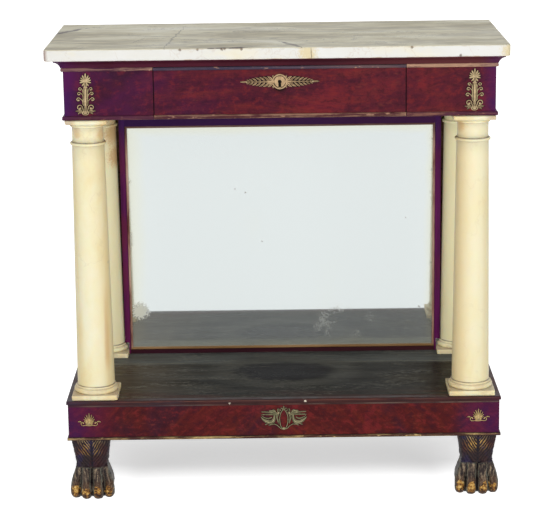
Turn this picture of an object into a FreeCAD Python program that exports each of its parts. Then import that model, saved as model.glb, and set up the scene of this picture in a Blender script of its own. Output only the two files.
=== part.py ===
"""Pier table: a marble slab on a mahogany case with one drawer, four turned stone columns,
a framed mirror, a plinth shelf and carved feet.

Frame: millimetres, +Z up, +X to the right seen from the front, the front faces -Y.
The origin is on the floor, under the middle of the case and of the slab's depth.
"""

import FreeCAD, Part
import math
import os
import Sketcher

Vector = FreeCAD.Vector
doc = FreeCAD.newDocument("pier_table")
sheet = doc.addObject("Spreadsheet::Sheet", "sizes")

# Driving sizes. Everything else is worked out from these.
SIZES = {
    # marble slab
    "marble_width": 960,
    "marble_depth": 425,
    "marble_thick": 24,
    "marble_corner": 11,
    "marble_arris": 2,
    "marble_shift": 5,
    # frieze case
    "case_overhang": 32,
    "case_setback": 24,
    "wall_gap": 1,
    "frieze_height": 93,
    "upper_bead_height": 8,
    "lower_bead_height": 9,
    "bead_proud": 4.5,
    "cornice_height": 16,
    "cornice_proud": 18,
    "cornice_fillet": 2.5,
    "panel_thick": 22,
    "back_thick": 14,
    "corner_block": 70,
    "corner_block_height": 94,
    "rail_depth": 45,
    "rail_thick": 12,
    # drawer
    "drawer_margin": 186.5,
    "drawer_gap": 1,
    "drawer_rebate": 11,
    "drawer_board": 10,
    "drawer_bottom_thick": 6,
    "drawer_bottom_rise": 4,
    "drawer_groove": 4,
    "drawer_tail_room": 48,
    "drawer_top_play": 2,
    "drawer_side_play": 0.5,
    "drawer_stop_gap": 0.3,
    "stop_length": 20,
    "runner_width": 34,
    "guide_width": 22,
    "guide_rise": 14,
    # lock and escutcheon
    "keyhole_rise": 76,
    "keyhole_radius": 3.6,
    "keyhole_slot": 3.6,
    "keyhole_drop": 13,
    "lock_width": 64,
    "lock_drop": 57,
    "lock_thick": 12,
    "bolt_width": 24,
    "bolt_thick": 4,
    "bolt_height": 26,
    "bolt_play": 0.1,
    "bolt_chamber": 49,
    "strike_depth": 8.5,
    "lock_cover_thick": 2.5,
    "lock_screw_radius": 1.6,
    "lock_screw_inset": 6,
    "lock_screw_bite": 4,
    "escutcheon_length": 165,
    "escutcheon_boss": 33,
    "mount_thick": 2.4,
    "frieze_mount_rise": 90,
    "frieze_mount_up": 0.5,
    "corner_mount_rise": 31,
    "corner_mount_up": 31,
    "corner_mount_out": 1,
    "centre_mount_rise": 56,
    "centre_mount_up": 17,
    "pin_radius": 0.9,
    "pin_head_radius": 1.7,
    "pin_head_height": 0.8,
    "pin_depth": 8,
    # columns
    "column_height": 604,
    "column_inset": 44.5,
    "column_setback": 6,
    "stone_side": 99,
    "stone_thick": 11,
    "torus_height": 10.5,
    "torus_radius": 47.5,
    "base_ring_height": 5,
    "base_ring_radius": 42.5,
    "shaft_bottom_radius": 40,
    "shaft_top_radius": 34,
    "astragal_height": 7,
    "astragal_radius": 38,
    "neck_radius": 33.2,
    "front_neck": 32,
    "rear_neck": 49,
    "cap_ring_height": 4,
    "cap_ring_radius": 36.5,
    "echinus_height": 5,
    "echinus_radius": 40,
    "abacus_side": 90,
    "abacus_thick": 8,
    "rod_radius": 5,
    "rod_play": 0.8,
    "rod_bite": 28,
    "nut_radius": 8.5,
    "nut_height": 8,
    "washer_radius": 9.2,
    "washer_thick": 2,
    # mirror
    "mirror_margin": 103,
    "mirror_sight_bottom": 14,
    "mirror_sight_top": 78,
    "mirror_forward": 11.5,
    "glass_thick": 3,
    "glass_hold": 5.5,
    "glass_play": 0.3,
    "mirror_bead": 5,
    "mirror_bead_thick": 5,
    "mirror_frame_thick": 22,
    "mirror_lip": 7.5,
    "mirror_board_thick": 6,
    "stile_gap": 1,
    "column_clearance": 0.5,
    "rear_panel_thick": 7,
    "rear_panel_inset": 5.5,
    # plinth
    "plinth_spread": 14,
    "plinth_height": 88,
    "plinth_proud": 3,
    "shelf_setback": 1,
    "shelf_thick": 14,
    "edging_step": 6,
    "edging_width": 13,
    "plinth_bead_height": 7,
    "plinth_rail": 20,
    "plinth_block": 80,
    # feet
    "foot_height": 136,
    "foot_inset": 45.5,
    "foot_setback": 5,
    "foot_top_side": 80,
    "ankle_side": 68,
    "ankle_height": 80,
    "toe_width": 25,
    "toe_pitch": 24,
    "toe_rise": 63,
    "toe_reach": 4.5,
    "foot_depth": 104,
    "rear_foot_inset": 34,
    "rear_foot_radius": 24,
    "rear_foot_toe_radius": 16,
    "dowel_radius": 10,
    "dowel_rise": 38,
    "dowel_drop": 45,
}


class Size(float):
    """A number that carries the sheet expression it comes from."""

    def __new__(cls, number, text):
        made = super().__new__(cls, number)
        made.text = text
        return made

    def __add__(self, other):
        return Size(float(self) + float(other), f"({self.text} + {text_of(other)})")

    def __radd__(self, other):
        return Size(float(other) + float(self), f"({text_of(other)} + {self.text})")

    def __sub__(self, other):
        return Size(float(self) - float(other), f"({self.text} - {text_of(other)})")

    def __rsub__(self, other):
        return Size(float(other) - float(self), f"({text_of(other)} - {self.text})")

    def __mul__(self, other):
        return Size(float(self) * float(other), f"({self.text} * {text_of(other)})")

    def __rmul__(self, other):
        return Size(float(other) * float(self), f"({text_of(other)} * {self.text})")

    def __truediv__(self, other):
        return Size(float(self) / float(other), f"({self.text} / {text_of(other)})")

    def __neg__(self):
        return Size(-float(self), f"(-1 * {self.text})")


def text_of(value):
    """The expression text of a Size or of a plain number."""
    return value.text if isinstance(value, Size) else str(float(value))


class Sizes:
    """The sheet's cells as attributes: size.marble_width and so on."""

    def __getattr__(self, alias):
        return Size(sheet.get(alias), f"sizes.{alias}")


def fill_sheet():
    """One row for each driving size: its name, and its value with the name as alias."""
    for row, (alias, value) in enumerate(SIZES.items(), start=1):
        sheet.set(f"A{row}", alias)
        sheet.set(f"B{row}", str(value))
        sheet.setAlias(f"B{row}", alias)
    doc.recompute()


fill_sheet()
size = Sizes()
nodes = []
ZERO = Size(0, "0")

# Planes and heights that several pieces share.
slab_front = -size.marble_depth / 2
case_front = slab_front + size.case_setback
case_back = size.marble_depth / 2 - size.wall_gap
case_side = size.marble_width / 2 - size.case_overhang
case_inside = case_side - size.panel_thick
panel_back = case_front + size.panel_thick
back_inside = case_back - size.back_thick
plinth_front = slab_front + size.shelf_setback + size.plinth_proud
plinth_side = case_side + size.plinth_spread
shelf_top = size.foot_height + size.plinth_height
shelf_bottom = shelf_top - size.shelf_thick
case_bottom = shelf_top + size.column_height
frieze_bottom = case_bottom + size.lower_bead_height
frieze_top = frieze_bottom + size.frieze_height
cornice_bottom = frieze_top + size.upper_bead_height
case_top = cornice_bottom + size.cornice_height

# Column axes and the height of a column's base.
column_x = case_side - size.column_inset
front_column_y = slab_front + size.column_setback + size.stone_side / 2
rear_column_y = case_back - size.stone_side / 2
base_height = size.stone_thick + size.torus_height + size.base_ring_height
COLUMNS = [(side * column_x, row) for row in (front_column_y, rear_column_y) for side in (-1, 1)]

# Drawer planes.
drawer_side = case_side - size.drawer_margin
opening_side = drawer_side + size.drawer_gap
drawer_box = drawer_side - size.drawer_rebate
drawer_inside = drawer_box - size.drawer_board
drawer_low = case_bottom + size.drawer_side_play
drawer_high = cornice_bottom - size.drawer_gap
runner_top = case_bottom + size.rail_thick
drawer_box_top = cornice_bottom - size.drawer_top_play
drawer_floor = runner_top + size.drawer_bottom_rise
drawer_tail = back_inside - size.drawer_tail_room
keyhole_z = case_bottom + size.keyhole_rise
lock_front = panel_back - size.lock_thick
lock_bottom = drawer_high - size.lock_drop
cover_front = panel_back - size.lock_cover_thick
bolt_back = cover_front - size.bolt_play
bolt_front = bolt_back - size.bolt_thick
bolt_top = drawer_high - size.drawer_side_play

# Mirror planes.
frame_front = rear_column_y - size.mirror_forward
frame_back = frame_front + size.mirror_frame_thick
glass_front = frame_front + size.mirror_lip
sight_side = case_side - size.mirror_margin
sight_low = shelf_top + size.mirror_sight_bottom
sight_high = case_bottom - size.mirror_sight_top
bead_side = sight_side + size.mirror_bead
stone_inside = column_x - size.stone_side / 2 - size.column_clearance
stile_side = column_x - size.shaft_bottom_radius - size.stile_gap
rear_panel_side = column_x - size.rear_panel_inset
capital_zone = case_bottom - size.abacus_thick - size.echinus_height - size.cap_ring_height
base_zone = shelf_top + base_height

# Foot centres.
foot_x = plinth_side - size.foot_inset
foot_y = plinth_front + size.foot_top_side / 2 + size.foot_setback
rear_foot_x = plinth_side - size.rear_foot_inset
rear_foot_y = case_back - size.plinth_rail - size.rear_foot_radius
FOOT_ROWS = ((foot_x, foot_y), (rear_foot_x, rear_foot_y))
FEET = [(side * across, row) for across, row in FOOT_ROWS for side in (-1, 1)]

# One step of the grid that each mount is drawn on.
frieze_grid = size.frieze_mount_rise / 90
corner_grid = size.corner_mount_rise / 31
centre_grid = size.centre_mount_rise / 56
spray_grid = size.escutcheon_length / 165


def bind(thing, prop, value):
    """Sets a property, tied to the sheet when the value comes from it."""
    if isinstance(value, Size):
        thing.setExpression(prop, value.text)
    else:
        setattr(thing, prop, value)


def move(thing, place):
    """Ties an object's position to the sheet."""
    for axis, value in zip("xyz", place):
        thing.setExpression(f"Placement.Base.{axis}", text_of(value))
    return thing


def node(thing, label):
    """Lists an object as a finished sub-part."""
    thing.Label = label
    nodes.append(thing)
    return thing


def box(name, low, high):
    """A plain board between two corners."""
    made = doc.addObject("Part::Box", name)
    for prop, start, end in zip(("Length", "Width", "Height"), low, high):
        bind(made, prop, end - start)
    return move(made, low)


def both_sides(name, low, high):
    """A board on the left and one on the right, given by the right one's corners."""
    left = box(f"{name}_l", (-high[0], low[1], low[2]), (-low[0], high[1], high[2]))
    return [left, box(f"{name}_r", low, high)]


def cylinder(name, centre, radius, tall):
    """An upright cylinder standing on its centre point."""
    made = doc.addObject("Part::Cylinder", name)
    bind(made, "Radius", radius)
    bind(made, "Height", tall)
    return move(made, centre)


def bar(name, centre, radius, length):
    """A round bar from its centre point towards +Y."""
    made = doc.addObject("Part::Cylinder", name)
    made.Placement = FreeCAD.Placement(Vector(), FreeCAD.Rotation(Vector(1, 0, 0), -90))
    bind(made, "Radius", radius)
    bind(made, "Height", length)
    return move(made, centre)


def compound(name, things):
    """Separate solids kept together as one object."""
    made = doc.addObject("Part::Compound", name)
    made.Links = things
    return made


def fuse(name, things):
    """Overlapping solids made into one."""
    made = doc.addObject("Part::MultiFuse", name)
    made.Shapes = things
    return made


def cut(name, base, tool):
    """The base with the tool taken away."""
    made = doc.addObject("Part::Cut", name)
    made.Base = base
    made.Tool = tool
    return made


def tie(sketch, index, name, value):
    """Names a constraint and ties it to the sheet."""
    sketch.renameConstraint(index, name)
    if isinstance(value, Size):
        sketch.setExpression(f"Constraints.{name}", value.text)


def new_sketch(body, name, role):
    """An empty sketch on one of the body's own origin planes."""
    sketch = body.newObject("Sketcher::SketchObject", name)
    plane = next(item for item in body.Origin.OriginFeatures if item.Role == role)
    sketch.AttachmentSupport = [(plane, "")]
    sketch.MapMode = "FlatFace"
    return sketch


def arc_through(start, end, radius, side):
    """The shorter arc of that radius, bulging to the left (+1) or right (-1) of the way."""
    half = (end - start).Length / 2
    rise = float(radius) - math.sqrt(max(float(radius) ** 2 - half**2, 0.0))
    along = (end - start).normalize()
    bulge = Vector(-along.y, along.x, 0) * (side * rise)
    return Part.Arc(start, (start + end) * 0.5 + bulge, end)


def draw(sketch, corners):
    """Closes a loop through the corners (across, up). A corner with a radius and a side as
    well is reached by an arc. Corners and radii are tied to the sheet."""
    points = [Vector(float(corner[0]), float(corner[1]), 0) for corner in corners]
    ends = []
    for number, corner in enumerate(corners):
        start, end = points[number - 1], points[number]
        if len(corner) == 2:
            index = sketch.addGeometry(Part.LineSegment(start, end))
        else:
            index = sketch.addGeometry(arc_through(start, end, corner[2], corner[3]))
            bend = Sketcher.Constraint("Radius", index, float(corner[2]))
            tie(sketch, sketch.addConstraint(bend), f"radius_{index}", corner[2])
        forward = (sketch.getPoint(index, 2) - end).Length < 1e-6
        ends.append((index, 2, 1) if forward else (index, 1, 2))
    for number, (index, finish, _) in enumerate(ends):
        following, _, begin = ends[(number + 1) % len(ends)]
        sketch.addConstraint(Sketcher.Constraint("Coincident", index, finish, following, begin))
        for kind, word, value in zip(("DistanceX", "DistanceY"), ("across", "up"), corners[number]):
            place = Sketcher.Constraint(kind, -1, 1, index, finish, float(value))
            tie(sketch, sketch.addConstraint(place), f"{word}_{index}", value)


def rectangle(low_x, low_y, high_x, high_y):
    """Corners of an upright rectangle, ready for draw()."""
    return [(low_x, low_y), (high_x, low_y), (high_x, high_y), (low_x, high_y)]


def new_body(name, place, rotation=FreeCAD.Rotation()):
    """An empty body at a place tied to the sheet."""
    body = doc.addObject("PartDesign::Body", name)
    body.Placement = FreeCAD.Placement(Vector(), rotation)
    return move(body, place)


def feature(body, kind, name, sketch, length, reverse):
    """A pad or a pocket of a sketch."""
    made = body.newObject(kind, name)
    made.Profile = sketch
    made.Reversed = reverse
    bind(made, "Length", length)
    return made


def pad(body, name, role, corners, length, reverse=False):
    """Draws a loop on an origin plane and pads it."""
    sketch = new_sketch(body, f"{name}_sketch", role)
    draw(sketch, corners)
    return feature(body, "PartDesign::Pad", name, sketch, length, reverse)


def pocket(body, name, role, corners, length, reverse=False):
    """Draws a loop on an origin plane and cuts it out of the body."""
    sketch = new_sketch(body, f"{name}_sketch", role)
    draw(sketch, corners)
    return feature(body, "PartDesign::Pocket", name, sketch, length, reverse)


def turn(body, name, corners):
    """Draws half a section (radius, height) and turns it round the body's upright axis."""
    sketch = new_sketch(body, f"{name}_sketch", "XZ_Plane")
    draw(sketch, corners)
    made = body.newObject("PartDesign::Revolution", name)
    made.Profile = sketch
    made.ReferenceAxis = (sketch, ["V_Axis"])
    made.Angle = 360
    return made


def bore(body, radius, deep):
    """A round hole up the body's axis."""
    sketch = new_sketch(body, "bore_sketch", "XY_Plane")
    index = sketch.addGeometry(Part.Circle(Vector(), Vector(0, 0, 1), float(radius)))
    sketch.addConstraint(Sketcher.Constraint("Coincident", index, 3, -1, 1))
    made = sketch.addConstraint(Sketcher.Constraint("Radius", index, float(radius)))
    tie(sketch, made, "bore_radius", radius)
    feature(body, "PartDesign::Pocket", "bore", sketch, deep, True)


def strip(name, place, rotation, section, span, run, mitres):
    """A moulding strip along its own +Y. section: corners (out, up). span: how far it goes
    in and out from the face, and its height. mitres: the ends cut at 45 degrees."""
    inner, outer, tall = span
    body = new_body(name, place, rotation)
    pad(body, "length", "XZ_Plane", section, run, reverse=True)
    wide = outer + inner
    if "start" in mitres:
        corner = [(outer, ZERO), (-inner, wide), (-inner, ZERO)]
        pocket(body, "start_mitre", "XY_Plane", corner, tall, reverse=True)
    if "end" in mitres:
        corner = [(outer, run), (-inner, run), (-inner, run - wide)]
        pocket(body, "end_mitre", "XY_Plane", corner, tall, reverse=True)
    return body


def upright(degrees):
    """A rotation about the vertical."""
    return FreeCAD.Rotation(Vector(0, 0, 1), degrees)


def surround(name, section, span, faces, opening=None):
    """Strips round the front and both sides of the faces (side, front, low). An opening
    leaves a gap in the middle of the front. Gives the front pieces, the left and the right."""
    side, front, low = faces
    outer = span[1]
    deep = case_back - front + outer
    half = side + outer
    corner = (side, front - outer, low)
    start = (-half, front, low)
    if opening is None:
        ends = ("start", "end")
        fronts = [strip(f"{name}_f", start, upright(-90), section, span, half * 2, ends)]
    else:
        run = half - opening
        other = (opening, front, low)
        fronts = [
            strip(f"{name}_fl", start, upright(-90), section, span, run, ("start",)),
            strip(f"{name}_fr", other, upright(-90), section, span, run, ("end",)),
        ]
    left = strip(f"{name}_l", (-side, case_back, low), upright(180), section, span, deep, ("end",))
    right = strip(f"{name}_r", corner, upright(0), section, span, deep, ("start",))
    return fronts + [left, right]


def nose(tall, proud):
    """Section of a bead: flat back, rounded front."""
    ease = proud * 0.6
    return [
        (ZERO, ZERO),
        (proud - ease, ZERO),
        (proud, ease, ease, -1),
        (proud, tall - ease),
        (proud - ease, tall, ease, -1),
        (ZERO, tall),
    ]


def marble_top():
    """The slab: front corners rounded, top and bottom arrises eased."""
    half = size.marble_width / 2
    deep = size.marble_depth
    corner = size.marble_corner
    outline = [
        (-half, corner),
        (-half + corner, ZERO, corner, -1),
        (half - corner, ZERO),
        (half, corner, corner, -1),
        (half, deep),
        (-half, deep),
    ]
    body = new_body("marble_top", (-size.marble_shift, slab_front, case_top))
    slab = pad(body, "slab", "XY_Plane", outline, size.marble_thick)
    doc.recompute()
    flat = [
        f"Face{number}"
        for number, face in enumerate(slab.Shape.Faces, start=1)
        if face.BoundBox.ZLength < 0.01
    ]
    ease = body.newObject("PartDesign::Fillet", "eased_arris")
    ease.Base = (slab, flat)
    bind(ease, "Radius", size.marble_arris)
    node(body, "marble_top")


def cornice():
    """Cavetto cornice planted round the top of the case."""
    reach = size.cornice_proud
    tall = size.cornice_height
    section = [
        (ZERO, ZERO),
        (size.bead_proud, ZERO),
        (reach, tall - size.cornice_fillet, reach, 1),
        (reach, tall),
        (ZERO, tall),
    ]
    faces = (case_side, case_front, cornice_bottom)
    pieces = surround("cornice", section, (ZERO, reach, tall), faces)
    for piece, word in zip(pieces, ("front", "left", "right")):
        node(piece, f"cornice_{word}")


def case_beads():
    """The beads above and below the frieze, interrupted by the drawer."""
    proud = size.bead_proud
    rows = (
        ("upper_bead", frieze_top, size.upper_bead_height),
        ("lower_bead", case_bottom, size.lower_bead_height),
    )
    for label, low, tall in rows:
        faces = (case_side, case_front, low)
        span = (ZERO, proud, tall)
        pieces = surround(label, nose(tall, proud), span, faces, opening_side)
        node(compound(label, pieces), label)


def frieze_panels():
    """Front end panels, side panels and back board."""
    low = (opening_side, case_front, case_bottom)
    ends = both_sides("frieze_end", low, (case_side, panel_back, case_top))
    for end, word, side in zip(ends, ("left", "right"), (-1, 1)):
        holes = compound(f"frieze_end_holes_{word}", pin_holes(f"end_{word}", frieze_pins(side)))
        node(cut(f"frieze_end_{word}", end, holes), f"frieze_end_{word}")
    low = (case_inside, panel_back, case_bottom)
    sides = both_sides("frieze_side", low, (case_side, case_back, case_top))
    node(compound("frieze_sides", sides), "frieze_sides")
    low = (-case_inside, back_inside, case_bottom)
    node(box("frieze_back", low, (case_inside, case_back, case_top)), "frieze_back")


def frieze_blocks():
    """Corner blocks of the case, bored for the tie rods."""
    inner = case_inside - size.corner_block
    tall = size.corner_block_height
    near = ((panel_back, panel_back + size.corner_block), "front_block")
    far = ((back_inside - size.corner_block, back_inside), "back_block")
    blocks = []
    for (front, back), name in (near, far):
        low = (inner, front, case_bottom)
        blocks += both_sides(name, low, (case_inside, back, case_bottom + tall))
    hole = size.rod_radius + size.rod_play
    holes = [
        cylinder(f"frieze_block_hole_{n}", (x, y, case_bottom), hole, tall)
        for n, (x, y) in enumerate(COLUMNS)
    ]
    solids = compound("frieze_block_solids", blocks)
    made = cut("frieze_corner_blocks", solids, compound("frieze_block_holes", holes))
    node(made, "frieze_corner_blocks")


def drawer_rails():
    """The rails above and below the drawer, with the strike mortise for the lock's bolt."""
    rail_back = panel_back + size.rail_depth
    low = (-opening_side, case_front, cornice_bottom)
    lip = box("top_rail_lip", low, (opening_side, panel_back, case_top))
    low = (-case_inside, panel_back, cornice_bottom)
    wide = box("top_rail_wide", low, (case_inside, rail_back, case_top))
    play = size.bolt_play * 3
    half = size.bolt_width / 2 + play
    low = (-half, bolt_front - play, cornice_bottom)
    strike = box("strike", low, (half, bolt_back + play, cornice_bottom + size.strike_depth))
    node(cut("drawer_top_rail", fuse("top_rail", [lip, wide]), strike), "drawer_top_rail")
    inner = case_inside - size.corner_block
    low = (-inner, panel_back + size.drawer_stop_gap, case_bottom)
    node(box("drawer_bottom_rail", low, (inner, rail_back, runner_top)), "drawer_bottom_rail")


def drawer_runners():
    """Runner and guide in one L-shaped strip on each side, kickers above, stops behind."""
    rail_back = panel_back + size.rail_depth
    guide = drawer_box + size.drawer_side_play
    outer = guide + size.guide_width
    inner = outer - size.runner_width
    top = runner_top + size.guide_rise
    strips = []
    for side, word in ((-1, "l"), (1, "r")):
        section = [
            (side * inner, case_bottom),
            (side * outer, case_bottom),
            (side * outer, top),
            (side * guide, top),
            (side * guide, runner_top),
            (side * inner, runner_top),
        ]
        body = new_body(f"runner_{word}", (ZERO, rail_back, ZERO))
        pad(body, "length", "XZ_Plane", section, back_inside - rail_back, reverse=True)
        strips.append(body)
    node(compound("drawer_runners", strips), "drawer_runners")
    low = (inner, rail_back, cornice_bottom)
    kickers = both_sides("kicker", low, (outer, back_inside, cornice_bottom + size.rail_thick))
    node(compound("drawer_kickers", kickers), "drawer_kickers")
    start = drawer_tail + size.drawer_stop_gap
    stops = both_sides("stop", (inner, start, runner_top), (guide, start + size.stop_length, top))
    node(compound("drawer_stops", stops), "drawer_stops")


def keyhole(name, front, back):
    """A round hole with a slot below, from one plane to another."""
    half = size.keyhole_slot / 2
    eye = bar(f"{name}_eye", (ZERO, front, keyhole_z), size.keyhole_radius, back - front)
    low = (-half, front, keyhole_z - size.keyhole_drop)
    return fuse(name, [eye, box(f"{name}_slot", low, (half, back, keyhole_z))])


def drawer_front():
    """The drawer's front: rebate for the lock, keyhole, groove for the bottom, pin holes."""
    low = (-drawer_side, case_front, drawer_low)
    board = box("front_board", low, (drawer_side, panel_back, drawer_high))
    half = size.lock_width / 2
    low = (-half, lock_front, lock_bottom)
    rebate = box("lock_rebate", low, (half, panel_back, drawer_high))
    groove = drawer_inside + size.drawer_groove
    low = (-groove, panel_back - size.drawer_groove, drawer_floor)
    high = (groove, panel_back, drawer_floor + size.drawer_bottom_thick)
    tools = [rebate, box("front_groove", low, high), keyhole("keyhole", case_front, lock_front)]
    tools += pin_holes("front", escutcheon_pins())
    tools += lock_screw_bars("front_screw_hole")
    node(cut("drawer_front", board, fuse("front_tools", tools)), "drawer_front")


def drawer_box_pieces():
    """Sides with grooves, back and bottom of the drawer."""
    groove_top = drawer_floor + size.drawer_bottom_thick
    deep = drawer_inside + size.drawer_groove
    sides = []
    for side, word in ((-1, "l"), (1, "r")):
        section = [
            (side * drawer_inside, runner_top),
            (side * drawer_box, runner_top),
            (side * drawer_box, drawer_box_top),
            (side * drawer_inside, drawer_box_top),
            (side * drawer_inside, groove_top),
            (side * deep, groove_top),
            (side * deep, drawer_floor),
            (side * drawer_inside, drawer_floor),
        ]
        body = new_body(f"drawer_side_{word}", (ZERO, panel_back, ZERO))
        pad(body, "length", "XZ_Plane", section, drawer_tail - panel_back, reverse=True)
        sides.append(body)
    node(compound("drawer_sides", sides), "drawer_sides")
    low = (-drawer_inside, drawer_tail - size.drawer_board, groove_top)
    node(box("drawer_back", low, (drawer_inside, drawer_tail, drawer_box_top)), "drawer_back")
    low = (-deep, panel_back - size.drawer_groove, drawer_floor)
    node(box("drawer_bottom", low, (deep, drawer_tail, groove_top)), "drawer_bottom")


def drawer_beads():
    """The drawer's own beads, in line with those of the case."""
    proud = size.bead_proud
    rows = (("top", frieze_top, drawer_high), ("foot", drawer_low, frieze_bottom))
    pieces = []
    for word, low, high in rows:
        tall = high - low
        place = (-drawer_side, case_front, low)
        span = (ZERO, proud, tall)
        name = f"drawer_bead_{word}"
        section = nose(tall, proud)
        pieces.append(strip(name, place, upright(-90), section, span, drawer_side * 2, ()))
    node(compound("drawer_beads", pieces), "drawer_beads")


def lock_screw_bars(name):
    """Bars where the lock's four screws go, from the cover into the drawer's front."""
    across = size.lock_width / 2 - size.lock_screw_inset
    low = lock_bottom + size.lock_screw_inset
    high = drawer_high - size.lock_screw_inset
    start = lock_front - size.lock_screw_bite
    spots = ((-across, low), (across, low), (-across, high), (across, high))
    return [
        bar(f"{name}_{n}", (x, start, z), size.lock_screw_radius, panel_back - start)
        for n, (x, z) in enumerate(spots)
    ]


def lock():
    """Lock case with its bolt chamber, the bolt, the cover and the screws."""
    half = size.lock_width / 2
    case = box("lock_block", (-half, lock_front, lock_bottom), (half, cover_front, drawer_high))
    wide = size.bolt_width / 2 + size.bolt_play
    low = (-wide, bolt_front - size.bolt_play, drawer_high - size.bolt_chamber)
    tools = [
        box("chamber", low, (wide, cover_front, drawer_high)),
        keyhole("lock_keyhole", lock_front, bolt_front),
    ]
    tools += lock_screw_bars("case_screw_hole")
    node(cut("lock_case", case, fuse("lock_tools", tools)), "lock_case")
    low = (-size.bolt_width / 2, bolt_front, bolt_top - size.bolt_height)
    node(box("lock_bolt", low, (size.bolt_width / 2, bolt_back, bolt_top)), "lock_bolt")
    cover = box("cover_plate", (-half, cover_front, lock_bottom), (half, panel_back, drawer_high))
    holes = compound("cover_holes", lock_screw_bars("cover_screw_hole"))
    node(cut("lock_cover", cover, holes), "lock_cover")
    node(compound("lock_screws", lock_screw_bars("lock_screw")), "lock_screws")


def capital_height(neck):
    """Height of a capital with that necking."""
    return neck + size.cap_ring_height + size.echinus_height + size.abacus_thick


def turned_base(name, place):
    """Square plinth, torus and ring under a column."""
    half = size.stone_side / 2
    low = size.stone_thick
    top = low + size.torus_height
    bulge = size.torus_height / 2
    hole = size.rod_radius + size.rod_play
    body = new_body(name, (place[0], place[1], shelf_top))
    pad(body, "stone", "XY_Plane", rectangle(-half, -half, half, half), low)
    section = [
        (hole, low),
        (size.torus_radius - bulge, low),
        (size.torus_radius, low + bulge, bulge, -1),
        (size.torus_radius - bulge, top, bulge, -1),
        (size.base_ring_radius, top),
        (size.base_ring_radius, base_height),
        (hole, base_height),
    ]
    turn(body, "torus", section)
    bore(body, hole, low)
    return body


def turned_shaft(name, place, neck):
    """Tapering shaft with its astragal."""
    tall = case_bottom - capital_height(neck) - base_zone
    under = tall - size.astragal_height
    bulge = size.astragal_height / 2
    hole = size.rod_radius + size.rod_play
    body = new_body(name, (place[0], place[1], base_zone))
    section = [
        (hole, ZERO),
        (size.shaft_bottom_radius, ZERO),
        (size.shaft_top_radius, under),
        (size.astragal_radius - bulge, under),
        (size.astragal_radius, under + bulge, bulge, -1),
        (size.astragal_radius - bulge, tall, bulge, -1),
        (hole, tall),
    ]
    turn(body, "shaft", section)
    return body


def turned_capital(name, place, neck):
    """Necking, ring, echinus and square abacus."""
    tall = capital_height(neck)
    ring_top = neck + size.cap_ring_height
    bell_top = ring_top + size.echinus_height
    hole = size.rod_radius + size.rod_play
    body = new_body(name, (place[0], place[1], case_bottom - tall))
    section = [
        (hole, ZERO),
        (size.neck_radius, ZERO),
        (size.neck_radius, neck),
        (size.cap_ring_radius, neck),
        (size.cap_ring_radius, ring_top),
        (size.echinus_radius, bell_top, size.echinus_height * 2, -1),
        (hole, bell_top),
    ]
    turn(body, "bell", section)
    half = size.abacus_side / 2
    sketch = new_sketch(body, "abacus_sketch", "XY_Plane")
    sketch.setExpression("AttachmentOffset.Base.z", bell_top.text)
    draw(sketch, rectangle(-half, -half, half, half))
    feature(body, "PartDesign::Pad", "abacus", sketch, size.abacus_thick, False)
    bore(body, hole, tall)
    return body


def columns():
    """Two front columns, each in its own nodes, and the two rear ones."""
    rear = {"bases": [], "shafts": [], "capitals": []}
    words = ("front_left", "front_right", "rear_left", "rear_right")
    for place, word in zip(COLUMNS, words):
        front = word.startswith("front")
        neck = size.front_neck if front else size.rear_neck
        pieces = (
            turned_base(f"base_{word}", place),
            turned_shaft(f"shaft_{word}", place, neck),
            turned_capital(f"capital_{word}", place, neck),
        )
        for piece, plural in zip(pieces, rear):
            if front:
                node(piece, f"{plural[:-1]}_{word}")
            else:
                rear[plural].append(piece)
    for plural, pieces in rear.items():
        node(compound(f"{plural}_rear", pieces), f"{plural}_rear")


def tie_rods():
    """A rod through each column, held by a nut and washer on the case's corner block."""
    low = shelf_bottom - size.rod_bite
    seat = case_bottom + size.corner_block_height
    nut_low = seat + size.washer_thick
    high = nut_low + size.nut_height * 1.25
    rods = []
    plates = []
    for number, (x, y) in enumerate(COLUMNS):
        rods.append(cylinder(f"rod_{number}", (x, y, low), size.rod_radius, high - low))
        nut = doc.addObject("Part::Prism", f"nut_{number}")
        bind(nut, "Circumradius", size.nut_radius)
        bind(nut, "Height", size.nut_height)
        move(nut, (x, y, nut_low))
        spot = (x, y, seat)
        washer = cylinder(f"washer_{number}", spot, size.washer_radius, size.washer_thick)
        for thing, word in ((nut, "nut"), (washer, "washer")):
            hole = cylinder(f"{word}_hole_{number}", spot, size.rod_radius, high - seat)
            plates.append(cut(f"bored_{word}_{number}", thing, hole))
    node(compound("tie_rods", rods), "tie_rods")
    node(compound("tie_rod_nuts", plates), "tie_rod_nuts")


def mirror_stile(side, word):
    """One upright of the mirror's frame: rebated for the glass, cut back to clear the
    column's square plinth and capital."""
    edge = sight_side + size.glass_hold + size.glass_play
    reach = stile_side
    body = new_body(f"mirror_stile_{word}", (ZERO, ZERO, shelf_top))
    section = [
        (side * bead_side, frame_front),
        (side * reach, frame_front),
        (side * reach, frame_back),
        (side * edge, frame_back),
        (side * edge, glass_front),
        (side * bead_side, glass_front),
    ]
    pad(body, "length", "XY_Plane", section, size.column_height)
    low = base_height + size.column_clearance
    high = capital_zone - shelf_top - size.column_clearance
    for name, start, end in (("foot", ZERO, low), ("head", high, size.column_height)):
        notch = rectangle(side * stone_inside, start, side * reach, end)
        pocket(body, f"{name}_notch", "XZ_Plane", notch, frame_back)
    return body


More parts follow.
